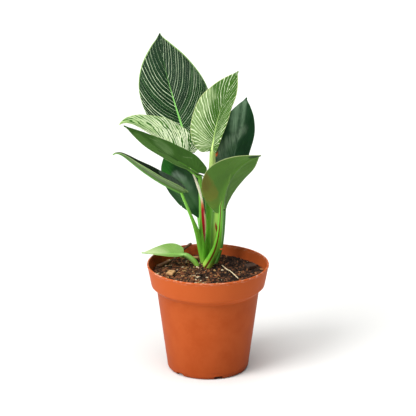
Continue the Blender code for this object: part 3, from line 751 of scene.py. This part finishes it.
def pot_plastic():
    """Moulded polypropylene, coloured terracotta: satin, faintly mottled, scuffed pale along the lip,
    dusty inside above the soil and smudged by the heel, with painted light on the band and painted
    shade on the inside wall."""
    made, add = material("terracotta_moulded_polypropylene")
    place = add("TexCoord").outputs["Object"]
    x, _, z = add("SeparateXYZ", (place,)).outputs
    radius = add("VectorMath", (add("VectorMath", (place, (1, 1, 0)), "MULTIPLY"),), "LENGTH")
    # Mottling of about 17 mm from uneven colouring
    cloud = add("TexNoise", (place, METRE / 16.67, 4.0, 0.6))
    tone = add("MapRange", (cloud, 0.35, 0.65, 0.0, 1.0))
    # Darker towards the foot, and painted light on the band, lighter where the light falls on it more
    # strongly
    down = add("MapRange", (z, 0.0, 50 * MM, 0.3, 0.0), "SMOOTHSTEP")
    lit_band = add("MapRange", (z, (NECK - 1.2) * MM, (BAND_FOOT + 1.5) * MM, 0.0, 0.6))
    # Scuffs of about 4.5 mm, drawn along the rim
    drawn = add("Mapping", (place, None, None, (1.0, 1.0, 5.0)))
    scuff = add("TexNoise", (drawn, METRE / 4.545, 5.0, 0.7))
    at_lip = add("MapRange", (z, (POT_HEIGHT - 3.5) * MM, (POT_HEIGHT - 0.2) * MM, 0.0, 1.0))
    scuffed = add("MapRange", (scuff, 0.50, 0.68, 0.0, 0.75))
    pale = add("Math", (at_lip, scuffed), "MULTIPLY")
    # Dust and splashes of about 3 mm on the inside wall, above the soil, mostly on the left
    middle = add("MapRange", (z, BAND_FOOT * MM, POT_HEIGHT * MM, (BAND_FOOT_RADIUS - 0.8) * MM,
                              (RIM_RADIUS - WALL) * MM))
    inside = add("Math", (radius, middle), "LESS_THAN")
    above = add("Math", (z, (SOIL_LEVEL - 7) * MM), "GREATER_THAN")
    inside = add("Math", (inside, above), "MULTIPLY")
    splash = add("TexNoise", (place, METRE / 3.333, 6.0, 0.7))
    low_down = add("MapRange", (z, (SOIL_LEVEL - 1) * MM, POT_HEIGHT * MM, 0.22, 0.0))
    dust = add("MapRange", (add("Math", (splash, low_down)), 0.55, 0.75, 0.0, 0.75))
    dust = add("Math", (dust, inside), "MULTIPLY")
    leftward = add("MapRange", (x, -20 * MM, 10 * MM, 1.0, 0.15))
    dust = add("Math", (dust, leftward), "MULTIPLY")
    # Painted shade over the inside wall above the soil
    shaded = add("Math", (inside, 0.3), "MULTIPLY")
    # A smudge of soil by the heel, in patches of about 40 mm
    smudge = add("TexNoise", (drawn, METRE / 38.46, 6.0, 0.65))
    by_heel = add("MapRange", (z, 0.0, 20 * MM, 0.14, -0.2))
    worn = add("MapRange", (add("Math", (smudge, by_heel)), 0.58, 0.74, 0.0, 0.55))
    colour = layered(add, "A84A1E", (tone, "B05225"), (down, "7A3010"), (lit_band, "C05C2C"), (pale, "E3B9A0"),
                     (dust, "5A3322"), (shaded, "7A3216"), (worn, "6E3018"))
    # Fine orange peel left by the mould, about 1 mm
    peel = add("TexNoise", (place, METRE / 1.111, 2.0))
    height = add("Math", (peel, 0.4, pale), "MULTIPLY_ADD")
    rough = add("MapRange", (cloud, 0.3, 0.7, 0.42, 0.54))
    surface(add, colour, rough, 0.05, height, 0.05)
    return made


def soil_mix():
    """Potting mix: peat fibre and bark fines, dark, matt and crumbly."""
    made, add = material("peat_and_bark_potting_mix")
    place = add("TexCoord").outputs["Object"]
    # Grains of about 2 mm, a few of them pale, with finer grain of 0.7 mm on them
    cells = add("TexVoronoi", {"Vector": place, "Scale": METRE / 1.923, "Randomness": 1.0})
    brown, pale, _ = add("SeparateColor", (cells.outputs["Color"],)).outputs
    bright = add("MapRange", (pale, 0.9, 0.96, 0.0, 0.8))
    colour = layered(add, "1C130D", (brown, "4A3123"), (bright, "8A6443"))
    fine = add("TexNoise", (place, METRE / 0.714, 3.0))
    height = add("Math", (fine, cells.outputs["Distance"]), "SUBTRACT")
    surface(add, colour, 0.95, 0.25, height, 0.5)
    return made


def crumb_mix():
    """Crumbs of the mix: each takes its colour from its own attribute, roughened by fine grain."""
    made, add = material("loose_crumbs_of_mix")
    own = add("Attribute", attribute_name="crumb_colour")
    # Grain of 0.7 mm
    fine = add("TexNoise", (add("TexCoord").outputs["Object"], METRE / 0.6667, 3.0))
    tone = add("MapRange", (fine, 0.3, 0.7, 0.7, 1.25))
    lit = add("VectorMath", {"Vector": own, "Scale": tone}, "SCALE")
    surface(add, lit, 0.92, 0.25, fine, 0.25)
    return made


def dry_fibre(name, dark, light, grain_mm, rough=0.85, depth=0.3, detail=5.0, harsh=0.7):
    """Dry bark, wood, root or bract: matt, with a mottled grain of this size. detail and harsh are how
    fine and how rough the grain's noise is."""
    made, add = material(name)
    grain = add("TexNoise", (add("TexCoord").outputs["Object"], METRE / grain_mm, detail, harsh))
    tone = add("MapRange", (grain, 0.35, 0.65, 0.0, 1.0))
    surface(add, layered(add, dark, (tone, light)), rough, height=grain, depth=depth)
    return made


def add_object(name, mesh, *skins):
    """An object in the scene, with its place in its mesh."""
    made = bpy.data.objects.new(name, mesh)
    bpy.context.scene.collection.objects.link(made)
    for skin in skins:
        mesh.materials.append(skin)
    return made


def mesh_from(bm, name, smooth_angle=60):
    """Writes a bmesh, closed and facing out, into a new mesh, from millimetres to metres."""
    bmesh.ops.recalc_face_normals(bm, faces=bm.faces)
    bmesh.ops.scale(bm, vec=(MM, MM, MM), verts=bm.verts)
    mesh = bpy.data.meshes.new(name)
    bm.to_mesh(mesh)
    bm.free()
    mesh.shade_smooth()
    mesh.set_sharp_from_angle(angle=math.radians(smooth_angle))
    return mesh


def margin_shares(leaf):
    """How far round the margin each row of the blade ends, from 0 by the stalk to 1 at the tip."""
    walk = [0.0]
    for i in range(1, ROWS + 1):
        before, here = (Vector(leaf.flat(j / ROWS, 1)) for j in (i - 1, i))
        walk.append(walk[-1] + (here - before).length)
    return [w / walk[-1] for w in walk]


def make_blade(key, look):
    """A blade on a grid whose rows follow the side veins, with its underside and a closed margin."""
    leaf = LEAVES[key]
    bm = bmesh.new()
    layers = [bm.verts.layers.float.new(name) for name in ("vein", "across", "long", "wide")]
    bmesh.ops.create_grid(bm, x_segments=COLUMNS, y_segments=ROWS, size=1)
    shares = margin_shares(leaf)
    for v in bm.verts:
        t, across = (v.co.y + 1) / 2, v.co.x
        x, y = leaf.flat(t, across)
        for layer, value in zip(layers, (shares[round(t * ROWS)], across, x, y)):
            v[layer] = value
        v.co = leaf.at(t, across)
    vein_at, across_at, long_at, wide_at = layers
    bmesh.ops.remove_doubles(bm, verts=bm.verts, dist=0.02)
    bm.normal_update()
    if sum(v.normal.dot(leaf.axes(v[long_at])[1]) for v in bm.verts) < 0:
        bmesh.ops.reverse_faces(bm, faces=bm.faces)
        bm.normal_update()
    facing = {v: v.normal.copy() for v in bm.verts}
    upper_edge = [e for e in bm.edges if e.is_boundary]
    twin = bmesh.ops.duplicate(bm, geom=bm.verts[:] + bm.edges[:] + bm.faces[:])
    lower_edge = [g for g in twin["geom"] if isinstance(g, bmesh.types.BMEdge) and g.is_boundary]
    for face in twin["geom"]:
        if isinstance(face, bmesh.types.BMFace):
            face.material_index = 1
    for v, normal in facing.items():
        thin = 1 - MARGIN_THINNER * abs(v[across_at]) ** 12
        twin["vert_map"][v].co = v.co - normal * leaf.thickness(v[long_at], abs(v[wide_at])) * thin
    bmesh.ops.bridge_loops(bm, edges=upper_edge + lower_edge)
    veins = bm.loops.layers.uv.new("veins")
    flat = bm.loops.layers.uv.new("flat")
    for face in bm.faces:
        for loop in face.loops:
            v = loop.vert
            loop[veins].uv = (v[vein_at], 0.5 + 0.5 * v[across_at])
            loop[flat].uv = (v[long_at] / PLAN, v[wide_at] / PLAN)
    blade = add_object(f"{leaf.name}_blade", mesh_from(bm, leaf.name), waxy_upper_skin(leaf.name, look),
                       dull_lower_skin(leaf.name, look))
    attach(blade, "root")
    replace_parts(blade, leaf.name)


def outward(centre, t):
    """At t along a centre line: ahead along it, its front, and its side."""
    ahead = (centre(min(t + 0.01, 1)) - centre(max(t - 0.01, 0))).normalized()
    front = Vector((0, -1, 0))
    front = (front - ahead * front.dot(ahead)).normalized()
    return ahead, front, ahead.cross(front)


def make_sleeve(name, place, length, skin, slot, stations):
    """A closed sleeve. place gives its skin at t, 0 to 1 along, and u, 0 to 1 round it."""
    bm = bmesh.new()
    bmesh.ops.create_grid(bm, x_segments=SLEEVE_SIDES, y_segments=stations, size=1)
    along_map = bm.loops.layers.uv.new("along")
    for face in bm.faces:
        for loop in face.loops:
            loop[along_map].uv = ((loop.vert.co.y + 1) / 2 * length / PLAN, (loop.vert.co.x + 1) / 2)
    for v in bm.verts:
        v.co = place((v.co.y + 1) / 2, (v.co.x + 1) / 2)
    bmesh.ops.remove_doubles(bm, verts=bm.verts, dist=0.005)
    bmesh.ops.holes_fill(bm, edges=[e for e in bm.edges if e.is_boundary], sides=0)
    made = add_object(name, mesh_from(bm, name, 50), skin)
    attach(made, "root")
    return made


def make_stalk(key, skin):
    """A stalk from its rounded foot to its knee, then on under the midrib into the blade."""
    leaf, stalk = LEAVES[key], STALKS[key]
    run = RUN_UNDER * leaf.length
    climb_length = (stalk.knee(leaf) - Vector(stalk.foot)).length
    total = climb_length + stalk.bend + run
    turn_at = climb_length / total
    base_at = (climb_length + stalk.bend) / total

    def centre(t):
        if t < turn_at:
            return stalk.climb(leaf, t / turn_at)
        x = (t - turn_at) / (1 - turn_at) * (stalk.bend + run) - stalk.bend
        _, face, side = leaf.axes(max(x, 0))
        sink = stalk.drop if x < 0 else stalk.drop + (END_DEPTH - stalk.drop) * ease(0, run, x)
        at = leaf.spot(x) + side * leaf.middle(x) - face * sink
        return at + Vector((stalk.aside, 0, 0)) * ease(run, 0, x)

    def radius(t):
        neck = stalk.radii[-1]
        if t < turn_at:
            foot = min(t * total / stalk.radii[0], 1.0)
            return stalk.radius(t / turn_at) * math.sqrt(1 - (1 - foot) ** 2)
        return neck + (END_RADIUS - neck) * ease(turn_at + 0.3 * (base_at - turn_at), 1, t)

    def place(t, u):
        _, front, side = outward(centre, t)
        turn = 2 * math.pi * u
        return centre(t) + (front * math.cos(turn) + side * math.sin(turn)) * radius(t)

    name = leaf.name.replace("leaf_", "stalk_")
    return make_sleeve(name, place, total, skin, "stalk", STALK_STATIONS)


def make_pot():
    """The pot: a spun wall with a rolled lip, then drain gaps and holes cut through its foot."""
    band_top = RIM_RADIUS - 0.5
    ring_inner = FOOT_RADIUS - FOOT_RING_WIDTH
    profile = [
        (0.0, WALL), (CENTRE_RADIUS - 0.6, WALL), (CENTRE_RADIUS + 0.8, FLOOR),
        (HEEL_RADIUS - WALL - 0.6, FLOOR), (HEEL_RADIUS - WALL, FLOOR + 0.8),
        (NECK_RADIUS - WALL, NECK + 0.4), (BAND_FOOT_RADIUS - WALL - 0.4, BAND_FOOT + 1.0),
        (band_top - WALL, POT_HEIGHT - 1.6), (RIM_RADIUS - WALL - 0.25, POT_HEIGHT - 0.3),
        (RIM_RADIUS - WALL + 0.1, POT_HEIGHT), (RIM_RADIUS - 0.5, POT_HEIGHT),
        (RIM_RADIUS - 0.15, POT_HEIGHT - 0.15), (RIM_RADIUS, POT_HEIGHT - 0.5),
        (RIM_RADIUS, POT_HEIGHT - 1.4), (RIM_RADIUS - 0.15, POT_HEIGHT - 1.7),
        (band_top, POT_HEIGHT - 2.1), (band_top - 0.1, POT_HEIGHT - 3.0),
        (BAND_FOOT_RADIUS + 0.2, BAND_FOOT + 2.2), (BAND_FOOT_RADIUS, BAND_FOOT + 1.2),
        (BAND_FOOT_RADIUS - 0.25, BAND_FOOT + 0.4), (BAND_FOOT_RADIUS - 0.8, BAND_FOOT),
        (NECK_RADIUS + 0.9, NECK + 0.9), (NECK_RADIUS + 0.25, NECK + 0.4), (NECK_RADIUS, NECK - 0.4),
        (NECK_RADIUS - 0.4, NECK - 3.0), (HEEL_RADIUS + 0.35, HEEL_HEIGHT + 3.0),
        (HEEL_RADIUS, HEEL_HEIGHT), (HEEL_RADIUS - 0.25, 2.8), (HEEL_RADIUS - 0.8, 1.6),
        (FOOT_RADIUS + 0.8, 0.4), (FOOT_RADIUS + 0.2, 0.1), (FOOT_RADIUS - 0.3, 0.0),
        (ring_inner, 0.0), (ring_inner - 0.6, RAISED_RING), (CENTRE_RADIUS + 1.2, RAISED_RING),
        (CENTRE_RADIUS, 0.0), (0.0, 0.0),
    ]
    bm = bmesh.new()
    corners = [bm.verts.new((r, 0, z)) for r, z in profile]
    line = [bm.edges.new(pair) for pair in zip(corners, corners[1:])]
    bmesh.ops.spin(bm, geom=corners + line, cent=(0, 0, 0), axis=(0, 0, 1), angle=2 * math.pi,
                   steps=POT_STEPS, use_merge=True)
    bmesh.ops.remove_doubles(bm, verts=bm.verts, dist=0.005)
    pot = add_object("nursery_pot", mesh_from(bm, "nursery_pot"), pot_plastic())
    cutters = []
    for i in range(DRAIN_COUNT):
        turn = math.radians(DRAIN_FIRST_ANGLE + 360 / DRAIN_COUNT * i)
        bm = bmesh.new()
        bmesh.ops.create_cube(bm, size=1)
        bmesh.ops.scale(bm, vec=(DRAIN_GAP_REACH, DRAIN_GAP_WIDTH, 2 * DRAIN_GAP_HEIGHT), verts=bm.verts)
        # The gap's two upper edges, which run outwards, are rounded
        ends = ((e, *e.verts) for e in bm.edges)
        upper = [e for e, v, w in ends if abs(v.co.x - w.co.x) > 1 and v.co.z > 0]
        bmesh.ops.bevel(bm, geom=upper, offset=DRAIN_GAP_CORNER, segments=4, profile=0.5, affect="EDGES",
                        material=-1)
        bmesh.ops.translate(bm, vec=(FOOT_RADIUS + 0.5, 0, 0), verts=bm.verts)
        bmesh.ops.rotate(bm, matrix=Matrix.Rotation(turn, 3, "Z"), verts=bm.verts)
        cutters.append(add_object("gap_cutter", mesh_from(bm, "gap_cutter")))
        centre = direction(math.degrees(turn) + 180 / DRAIN_COUNT, 0) * DRAIN_HOLE_CENTRE
        bm = bmesh.new()
        bmesh.ops.create_cone(bm, cap_ends=True, segments=32, radius1=DRAIN_HOLE_RADIUS,
                              radius2=DRAIN_HOLE_RADIUS, depth=8,
                              matrix=Matrix.Translation(centre + Vector((0, 0, 4))))
        cutters.append(add_object("hole_cutter", mesh_from(bm, "hole_cutter")))
    for cutter in cutters:
        cut = pot.modifiers.new("cut", "BOOLEAN")
        cut.operation = "DIFFERENCE"
        cut.solver = "EXACT"
        cut.object = cutter
    bpy.context.view_layer.update()
    holed = pot.evaluated_get(bpy.context.evaluated_depsgraph_get())
    mesh = bpy.data.meshes.new_from_object(holed)
    pot.modifiers.clear()
    pot.data = mesh
    for cutter in cutters:
        bpy.data.objects.remove(cutter)
    mesh.shade_smooth()
    mesh.set_sharp_from_angle(angle=math.radians(SHARP_ANGLE))
    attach(pot, "root")
    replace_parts(pot, "pot")


def soil_height(x, y):
    """The soil's lumpy surface, heaped round the plant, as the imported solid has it."""
    lump = noise.noise(Vector((x, y, 7)) / SOIL_LUMP_SIZE)
    lump += 0.6 * noise.noise(Vector((x, y, 31)) / SMALL_LUMP_SIZE)
    away = math.hypot(x - CROWN_CENTRE[0], y - CROWN_CENTRE[1]) / HEAP_SPREAD
    return SOIL_LEVEL + SOIL_LUMPS * lump + HEAP_HEIGHT * math.exp(-away * away)


def make_soil():
    """The filled pot's mix: a granular top that dips to the wall, over a plain body."""
    inside = WALL + SOIL_GAP
    # At the soil's level the pot is 1.6 mm wider than at the band's foot
    edge = BAND_FOOT_RADIUS + 1.6 - inside
    bm = bmesh.new()
    bmesh.ops.create_circle(bm, cap_ends=True, cap_tris=True, radius=edge, segments=SOIL_SEGMENTS)
    spokes = [e for e in bm.edges if not e.is_boundary]
    bmesh.ops.subdivide_edges(bm, edges=spokes, cuts=SOIL_CUTS, use_grid_fill=True)
    for v in bm.verts:
        x, y, _ = v.co
        rough = noise.fractal(Vector((x, y, 3)) / SOIL_GRAIN_SIZE, 0.7, 2.0, 3)
        wall = ease(edge - DIP_WIDTH, edge, math.hypot(x, y))
        v.co.z = soil_height(x, y) + SOIL_GRAIN * rough - DIP_DEPTH * wall
    rim = [e for e in bm.edges if e.is_boundary]
    for radius, height in ((BAND_FOOT_RADIUS - inside - 0.8, BAND_FOOT + 1.2),
                           (NECK_RADIUS - inside - 0.1, NECK + 0.2),
                           (HEEL_RADIUS - inside - 0.2, FLOOR + 1.6)):
        grown = bmesh.ops.extrude_edge_only(bm, edges=rim)["geom"]
        for v in grown:
            if isinstance(v, bmesh.types.BMVert):
                v.co.xy = v.co.xy.normalized() * radius
                v.co.z = height
        rim = [e for e in grown if isinstance(e, bmesh.types.BMEdge)]
    bmesh.ops.contextual_create(bm, geom=rim)
    soil = add_object("soil_body", mesh_from(bm, "soil_body", 80), soil_mix())
    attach(soil, "root")
    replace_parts(soil, "soil")


def make_crumbs():
    """Loose crumbs, slivers and flecks on the soil's top, in one mesh with a colour for each."""
    draw = random.Random(SEED)
    names, lit_weights, shaded_weights = zip(*CRUMB_COLOURS)
    colours = [srgb(name) for name in names]
    edge = BAND_FOOT_RADIUS - WALL
    heaped = bmesh.new()
    for _ in range(CRUMB_BATCHES):
        bm = bmesh.new()
        tint = bm.verts.layers.float_color.new("crumb_colour")
        for _ in range(CRUMBS // CRUMB_BATCHES):
            away = edge * math.sqrt(draw.random())
            turn = draw.uniform(0, 2 * math.pi)
            x, y = away * math.cos(turn), away * math.sin(turn)
            size = draw.choice(CRUMB_SIZES)
            stretch = draw.choice(CRUMB_STRETCHES)
            # Painted light and shade: lighter crumbs on the lit left, darker ones on the right in the
            # leaves' shade
            colour = draw.choices(colours, lit_weights if x < draw.uniform(*LIT_UP_TO) else shaded_weights)[0]
            made = bmesh.ops.create_icosphere(bm, subdivisions=1, radius=1)["verts"]
            tilt = Matrix.Rotation(draw.uniform(-CRUMB_LEAN, CRUMB_LEAN), 3, "X")
            spin = Matrix.Rotation(draw.uniform(0, math.pi), 3, "Z") @ tilt
            for v in made:
                v.co *= size * draw.uniform(*CRUMB_LUMPS)
                v.co = spin @ Vector((v.co.x * stretch, v.co.y, v.co.z * CRUMB_FLATNESS))
                v.co += Vector((x, y, soil_height(x, y) + CRUMB_RISE * size))
                v[tint] = colour
        batch = bpy.data.meshes.new("batch")
        bm.to_mesh(batch)
        bm.free()
        heaped.from_mesh(batch)
        bpy.data.meshes.remove(batch)
    crumbs = add_object("soil_crumbs", mesh_from(heaped, "soil_crumbs", 30), crumb_mix())
    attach(crumbs, "root")


def make_ribbon(name, centre, half_width, half_thick, skin, slot):
    """A flat, pointed piece of plant skin along a centre line, a lens in section."""
    def place(t, u):
        _, front, side = outward(centre, t)
        turn = 2 * math.pi * u
        return centre(t) + side * half_width(t) * math.cos(turn) + front * half_thick(t) * math.sin(turn)

    return make_sleeve(name, place, PLAN, skin, slot, RIBBON_STATIONS)


def papery(t):
    """Half the thickness of a papery ribbon, 0.1 mm at its ends."""
    return 0.1 + 0.5 * math.sin(math.pi * t)


def make_sheath():
    """The dry sheath that clasps the olive leaf's stalk, free at its pointed tip."""
    leaf, stalk = LEAVES["olive"], STALKS["olive"]
    first, last = SHEATH_SPAN
    before = stalk.radius(0.6) + SHEATH_CLEAR

    def centre(t):
        right, rise = curve_through(SHEATH_WAY, t)
        return stalk.climb(leaf, first + (last - first) * t) + Vector((right, -before, rise))

    sheath = make_ribbon("stalk_sheath", centre, lambda t: curve_through(SHEATH_WIDTHS, t)[0], papery,
                         dry_sheath_skin(), "dry_sheath")
    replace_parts(sheath, "sheath")


def make_wing():
    """The thin wing on the left of the front leaf's stalk, where it sheathed the next leaf."""
    leaf, stalk = LEAVES["front"], STALKS["front"]
    first, last = WING_SPAN

    def centre(t):
        left = curve_through(WING_WAY, t)[0]
        return stalk.climb(leaf, first + (last - first) * t) + Vector((-left, WING_BEHIND, 0))

    make_ribbon("stalk_wing", centre, lambda t: curve_through(WING_WIDTHS, t)[0], papery, wing_skin(),
                "stalk")


def make_spurs():
    """Two dry stubs of old bracts, small and orange."""
    skin = dry_fibre("dry_orange_bract", "C43A14", "E0722E", 0.833, rough=0.6, depth=0.1, detail=3.0,
                     harsh=0.5)
    for name, foot, tip, radius in SPURS:
        def centre(t):
            return Vector(foot).lerp(Vector(tip), t)

        def reach(t):
            return radius * math.sin(math.pi * (0.12 + 0.88 * t))

        make_ribbon(name, centre, reach, lambda t: 0.6 * reach(t), skin, "dry_sheath")


def make_fibres():
    """A broken twig behind the small leaf and a thin pale root on the soil."""
    skins = {
        "broken_twig": (dry_fibre("weathered_twig_bark", "3E2A1C", "7A583C", 1.2), "bark_brown"),
        "thin_root": (dry_fibre("dry_root_fibre", "C0AA80", "EADCB8", 1.0), "root_cream"),
    }
    for name, packed, points, radius in FIBRES:
        def centre(t):
            return Vector(curve_through(points, t))

        def reach(t):
            knots = 1 + 0.25 * noise.noise(Vector((9 * t, 3, 5)))
            return radius * knots * math.sqrt(max(1 - abs(2 * t - 1) ** 16, 0))

        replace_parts(make_ribbon(name, centre, reach, reach, *skins[name]), packed)


def make_stage():
    """A plain pale floor, a camera at the photograph's angle, and soft light from the left and front."""
    bm = bmesh.new()
    bmesh.ops.create_grid(bm, x_segments=1, y_segments=1, size=FLOOR_REACH)
    mesh = bpy.data.meshes.new("floor")
    bm.to_mesh(mesh)
    bm.free()
    made, add = material("matt_white_floor")
    surface(add, srgb("E2E2E0"), 0.9, 0.2)
    floor = add_object("floor", mesh, made)

    down = math.radians(VIEW_DOWN)
    target = Vector(VIEW_TARGET)
    eye = target + Vector((0, -math.cos(down), math.sin(down))) * VIEW_DISTANCE
    lens = bpy.data.cameras.new("camera")
    lens.lens = VIEW_LENS
    lens.sensor_width = 36.0
    lens.clip_end = 50.0
    camera = bpy.data.objects.new("camera", lens)
    camera.location = eye * MM
    camera.rotation_euler = (target - eye).to_track_quat("-Z", "Y").to_euler()
    bpy.context.scene.collection.objects.link(camera)
    bpy.context.scene.camera = camera

    for name, turn, height, softness, strength in LAMPS:
        light = bpy.data.lights.new(name, "SUN")
        light.angle = math.radians(softness)
        light.energy = strength
        lamp = bpy.data.objects.new(name, light)
        lamp.rotation_euler = direction(270 - turn, height).to_track_quat("Z", "Y").to_euler()
        bpy.context.scene.collection.objects.link(lamp)
    world = bpy.data.worlds.new("studio")
    world.use_nodes = True
    background = world.node_tree.nodes["Background"]
    background.inputs["Color"].default_value = (1.0, 1.0, 1.0, 1.0)
    background.inputs["Strength"].default_value = ROOM_LIGHT
    bpy.context.scene.world = world
    bpy.context.scene.view_settings.view_transform = "Standard"


LOOKS = {
    "tall": BladeLook(
        "051E0A", "0A2812", "DCF0C6", "558848", "82C464", "8CB060", "5E813F", count=31, finer=1.3,
        width=(0.03, 0.36), more=(1.35, 0.24), hair_strength=0.45, wobble=0.4, least=0.45, seed=1.0,
        rough=0.45, gloss=0.1, midrib_width=1.9, midrib_fades=(0.8, 0.97),
    ),
    "striped": BladeLook(
        "42681F", "557E2E", "DCE8C0", "284F16", "A4C076", "BAC884", "6E9044", tip="355A18",
        tip_from=(0.35, 0.75), count=25, width=(0.05, 0.46), more=(1.2, 0.45), hair_strength=0.75,
        hair_more=1.9, finer=0.75, wobble=0.6, least=0.45, seed=2.0, rough=0.5, gloss=0.1, midrib_width=1.4,
        midrib_fades=(0.7, 0.95),
        marks=(Mark(((0, -10), (22, -19), (44, -15)), 3, 10, "BCD098", 0.5, rag=2, veiny=0.8),),
    ),
    "cream": BladeLook(
        "EAF2D2", "DCE8BC", "2C6012", "7AA850", "E4EDC8", "A8C078", "A0BA78", tip="8FB068",
        tip_from=(0.7, 1.0), count=24, width=(0.2, 1.45), more=(1.25, 0.8), hair_strength=0.65,
        hair_more=1.7, wobble=0.9, seed=3.0, rough=0.5, gloss=0.1,
        marks=(Mark(((56, 11), (40, 16), (20, 19)), 1.5, 7, "5E8C3A", 0.5, rag=2, veiny=0.9),),
    ),
    "olive": BladeLook(
        "365A1E", "2D4E19", "62883A", "2A4F1A", "3F6A24", "5A7D3C", "3A5A22", strength=0.12,
        hair_strength=0.22, seed=4.0, rough=0.42, gloss=0.2,
        marks=(
            # Painted light on the drooping left half, and painted sheen in pale streaks on the right half
            Mark(((26, -9), (44, -7), (62, -4)), 5, 9, "58803A", 0.45),
            Mark(((32, 5.5), (42, 8)), 2, 8, "80A068", 0.38, rag=1, veiny=0.6),
            # Painted shade in the crease along the midrib
            Mark(((20, 0.3), (32, -1), (42, -4.8)), 0.5, 2.6, "1C3614", 0.6),
            Mark(((-3, 0), (9, 0.3)), 0.4, 1.1, "6FAE3C", 0.75),
            Mark(((11.5, 0.4), (20, 0.2)), 0.3, 1.0, "64A038", 0.45),
            Mark(((44, 9), (52, 7.4)), 0.1, 0.4, "A9C090", 0.25),
            Mark(((8, 13), (17, 8.5)), 0.1, 0.4, "A9C090", 0.25),
        ),
    ),
    "narrow": BladeLook(
        "16231A", "202F24", "5A6E50", "101A14", "5FA03C", "8FAF6A", "527434", strength=0.1,
        hair_strength=0.2, seed=5.0, gloss=0.25,
        marks=(
            # Painted sheen: a grey streak on the right half near the stalk
            Mark(((-3, 9), (5, 12.5), (17, 14)), 4.5, 7, "7E9482", 0.75, rag=0.6, veiny=0.5),
            Mark(((0, -9), (20, -13), (50, -8)), 0.4, 1.6, "86A860", 0.6, below=True),
        ),
    ),
    "front": BladeLook(
        "40672C", "385F28", "7C9A58", "325A22", "40672C", "9DAE70", "527C2C", strength=0.1,
        hair_strength=0.2, seed=6.0, rough=0.42, gloss=0.15, under_midrib="527C2C",
        marks=(
            Mark(((24, 28), (19.5, 19), (13, 12)), 5.4, 7.6, "7C7026", 0.45, rag=1.2, veiny=0.4,
                 below=True),
            Mark(((13, 12), (6, 9)), 4.5, 7.5, "7A6C22", 0.2, rag=1.2, veiny=0.4, below=True),
            Mark(((26, 26), (19, 19)), 2, 7, "5E3A12", 0.5, rag=2, veiny=0.3, below=True),
            Mark(((0, 0), (11, -2.6), (24, -0.5)), 0.1, 1.0, "86AC58", 0.4, below=True),
            Mark(((24, -0.5), (34, 2.3)), 0.1, 0.9, "86AC58", 0.2, below=True),
            # Painted shadow beside the raised midrib
            Mark(((2, -2.4), (11, -4.8), (24, -2.7), (34, 0.1)), 0.2, 1.8, "24401A", 0.25, below=True),
            Mark(((60, 3.8), (67.6, 0.3)), 1.7, 2.4, "1A351C", 0.85, below=True),
        ),
    ),
    "dark": BladeLook(
        "12361A", "1A4224", "4A6F48", "0E2E14", "1C4826", "2E5A30", "4A6D35", strength=0.15,
        hair_strength=0.3, seed=7.0, rough=0.36, gloss=0.25,
        marks=(
            # Painted sheen: pale grey-green streaks along the veins, where light would glance off the waxy
            # blade
            Mark(((84, -7), (60, -6)), 0.8, 5, "86A684", 0.6, rag=1, veiny=0.6),
            Mark(((86, -1), (66, 1.4)), 0.6, 4, "86A684", 0.55, rag=1, veiny=0.6),
            Mark(((36, -17), (50, -6.5), (61, 4.5)), 1.0, 7, "8CA488", 0.6, rag=2, veiny=0.8),
            Mark(((30, -13), (44, -4)), 1.5, 8, "5A7C58", 0.4, rag=2, veiny=0.7),
        ),
    ),
    "low": BladeLook(
        "1F5022", "1A441E", "4A7648", "163F1A", "1F5022", "3F8A2D", "447030", strength=0.08,
        hair_strength=0.2, seed=8.0, rough=0.36, gloss=0.25,
        marks=(
            # Painted light: a bright green wash towards the tip, pale streaks of painted sheen and a
            # lighter patch
            Mark(((64, 0), (57, -5), (47, -12)), 5, 12, "358A2A", 0.85),
            Mark(((40, -1.5), (34, 1.0)), 0.5, 6.0, "A8BCAA", 0.6, rag=1, veiny=0.3),
            Mark(((34, 1), (24, 2)), 0.5, 6, "7E9C80", 0.45, rag=1, veiny=0.3),
            Mark(((30, -4), (14, -2)), 3, 12, "4E7C48", 0.7),
        ),
    ),
    "small": BladeLook("86AE56", "769E4A", "B8D090", "5A9434", "8CC060", "98C868", "8ABE5C", tip="CCDAA8",
                       tip_from=(0.6, 1.0), strength=0.25, hair_strength=0.25, seed=9.0, rough=0.42,
                       gloss=0.2),
}


def make_stalks():
    """The nine stalks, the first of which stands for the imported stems."""
    green = stalk_skin("green", "8CC048", "7CD03E", "84CC48")
    skins = {
        "striped": stalk_skin("pale", "8CC048", "78C63A", "C2DC80", turns=(0.7, 0.95)),
        "dark": stalk_skin("dark", "6A9A48", "549A38", "3F7434"),
        "front": stalk_skin("seamed", "A0CC50", "74C43A", "6A9C46", turns=(0.6, 0.82),
                            seam=(0.95, 0.045, "5E2A12")),
        "small": stalk_skin("young", "86B848", "8CC45A", "9CC870", turns=(0.05, 0.25)),
    }
    stalks = [make_stalk(key, skins.get(key, green)) for key in STALKS]
    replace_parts(stalks[0], "stems")


def dress_chips():
    """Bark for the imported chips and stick, whose shapes are right as they are."""
    tan = dry_fibre("dry_pale_bark", "A87848", "D8AE78", 2.0)
    brown = dry_fibre("dry_brown_bark", "5A3C28", "8E6444", 1.5)
    damp = dry_fibre("damp_dark_bark", "2A1C12", "4E3626", 2.0)
    for name, skin in (("bark_chip_front", tan), ("bark_chip_back", tan), ("bark_chip_right", damp),
                       ("bark_stick_left", brown)):
        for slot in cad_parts[name].material_slots:
            slot.material = skin


make_stage()
make_pot()
make_soil()
make_crumbs()
for key, look in LOOKS.items():
    make_blade(key, look)
make_stalks()
make_sheath()
make_wing()
make_spurs()
make_fibres()
dress_chips()
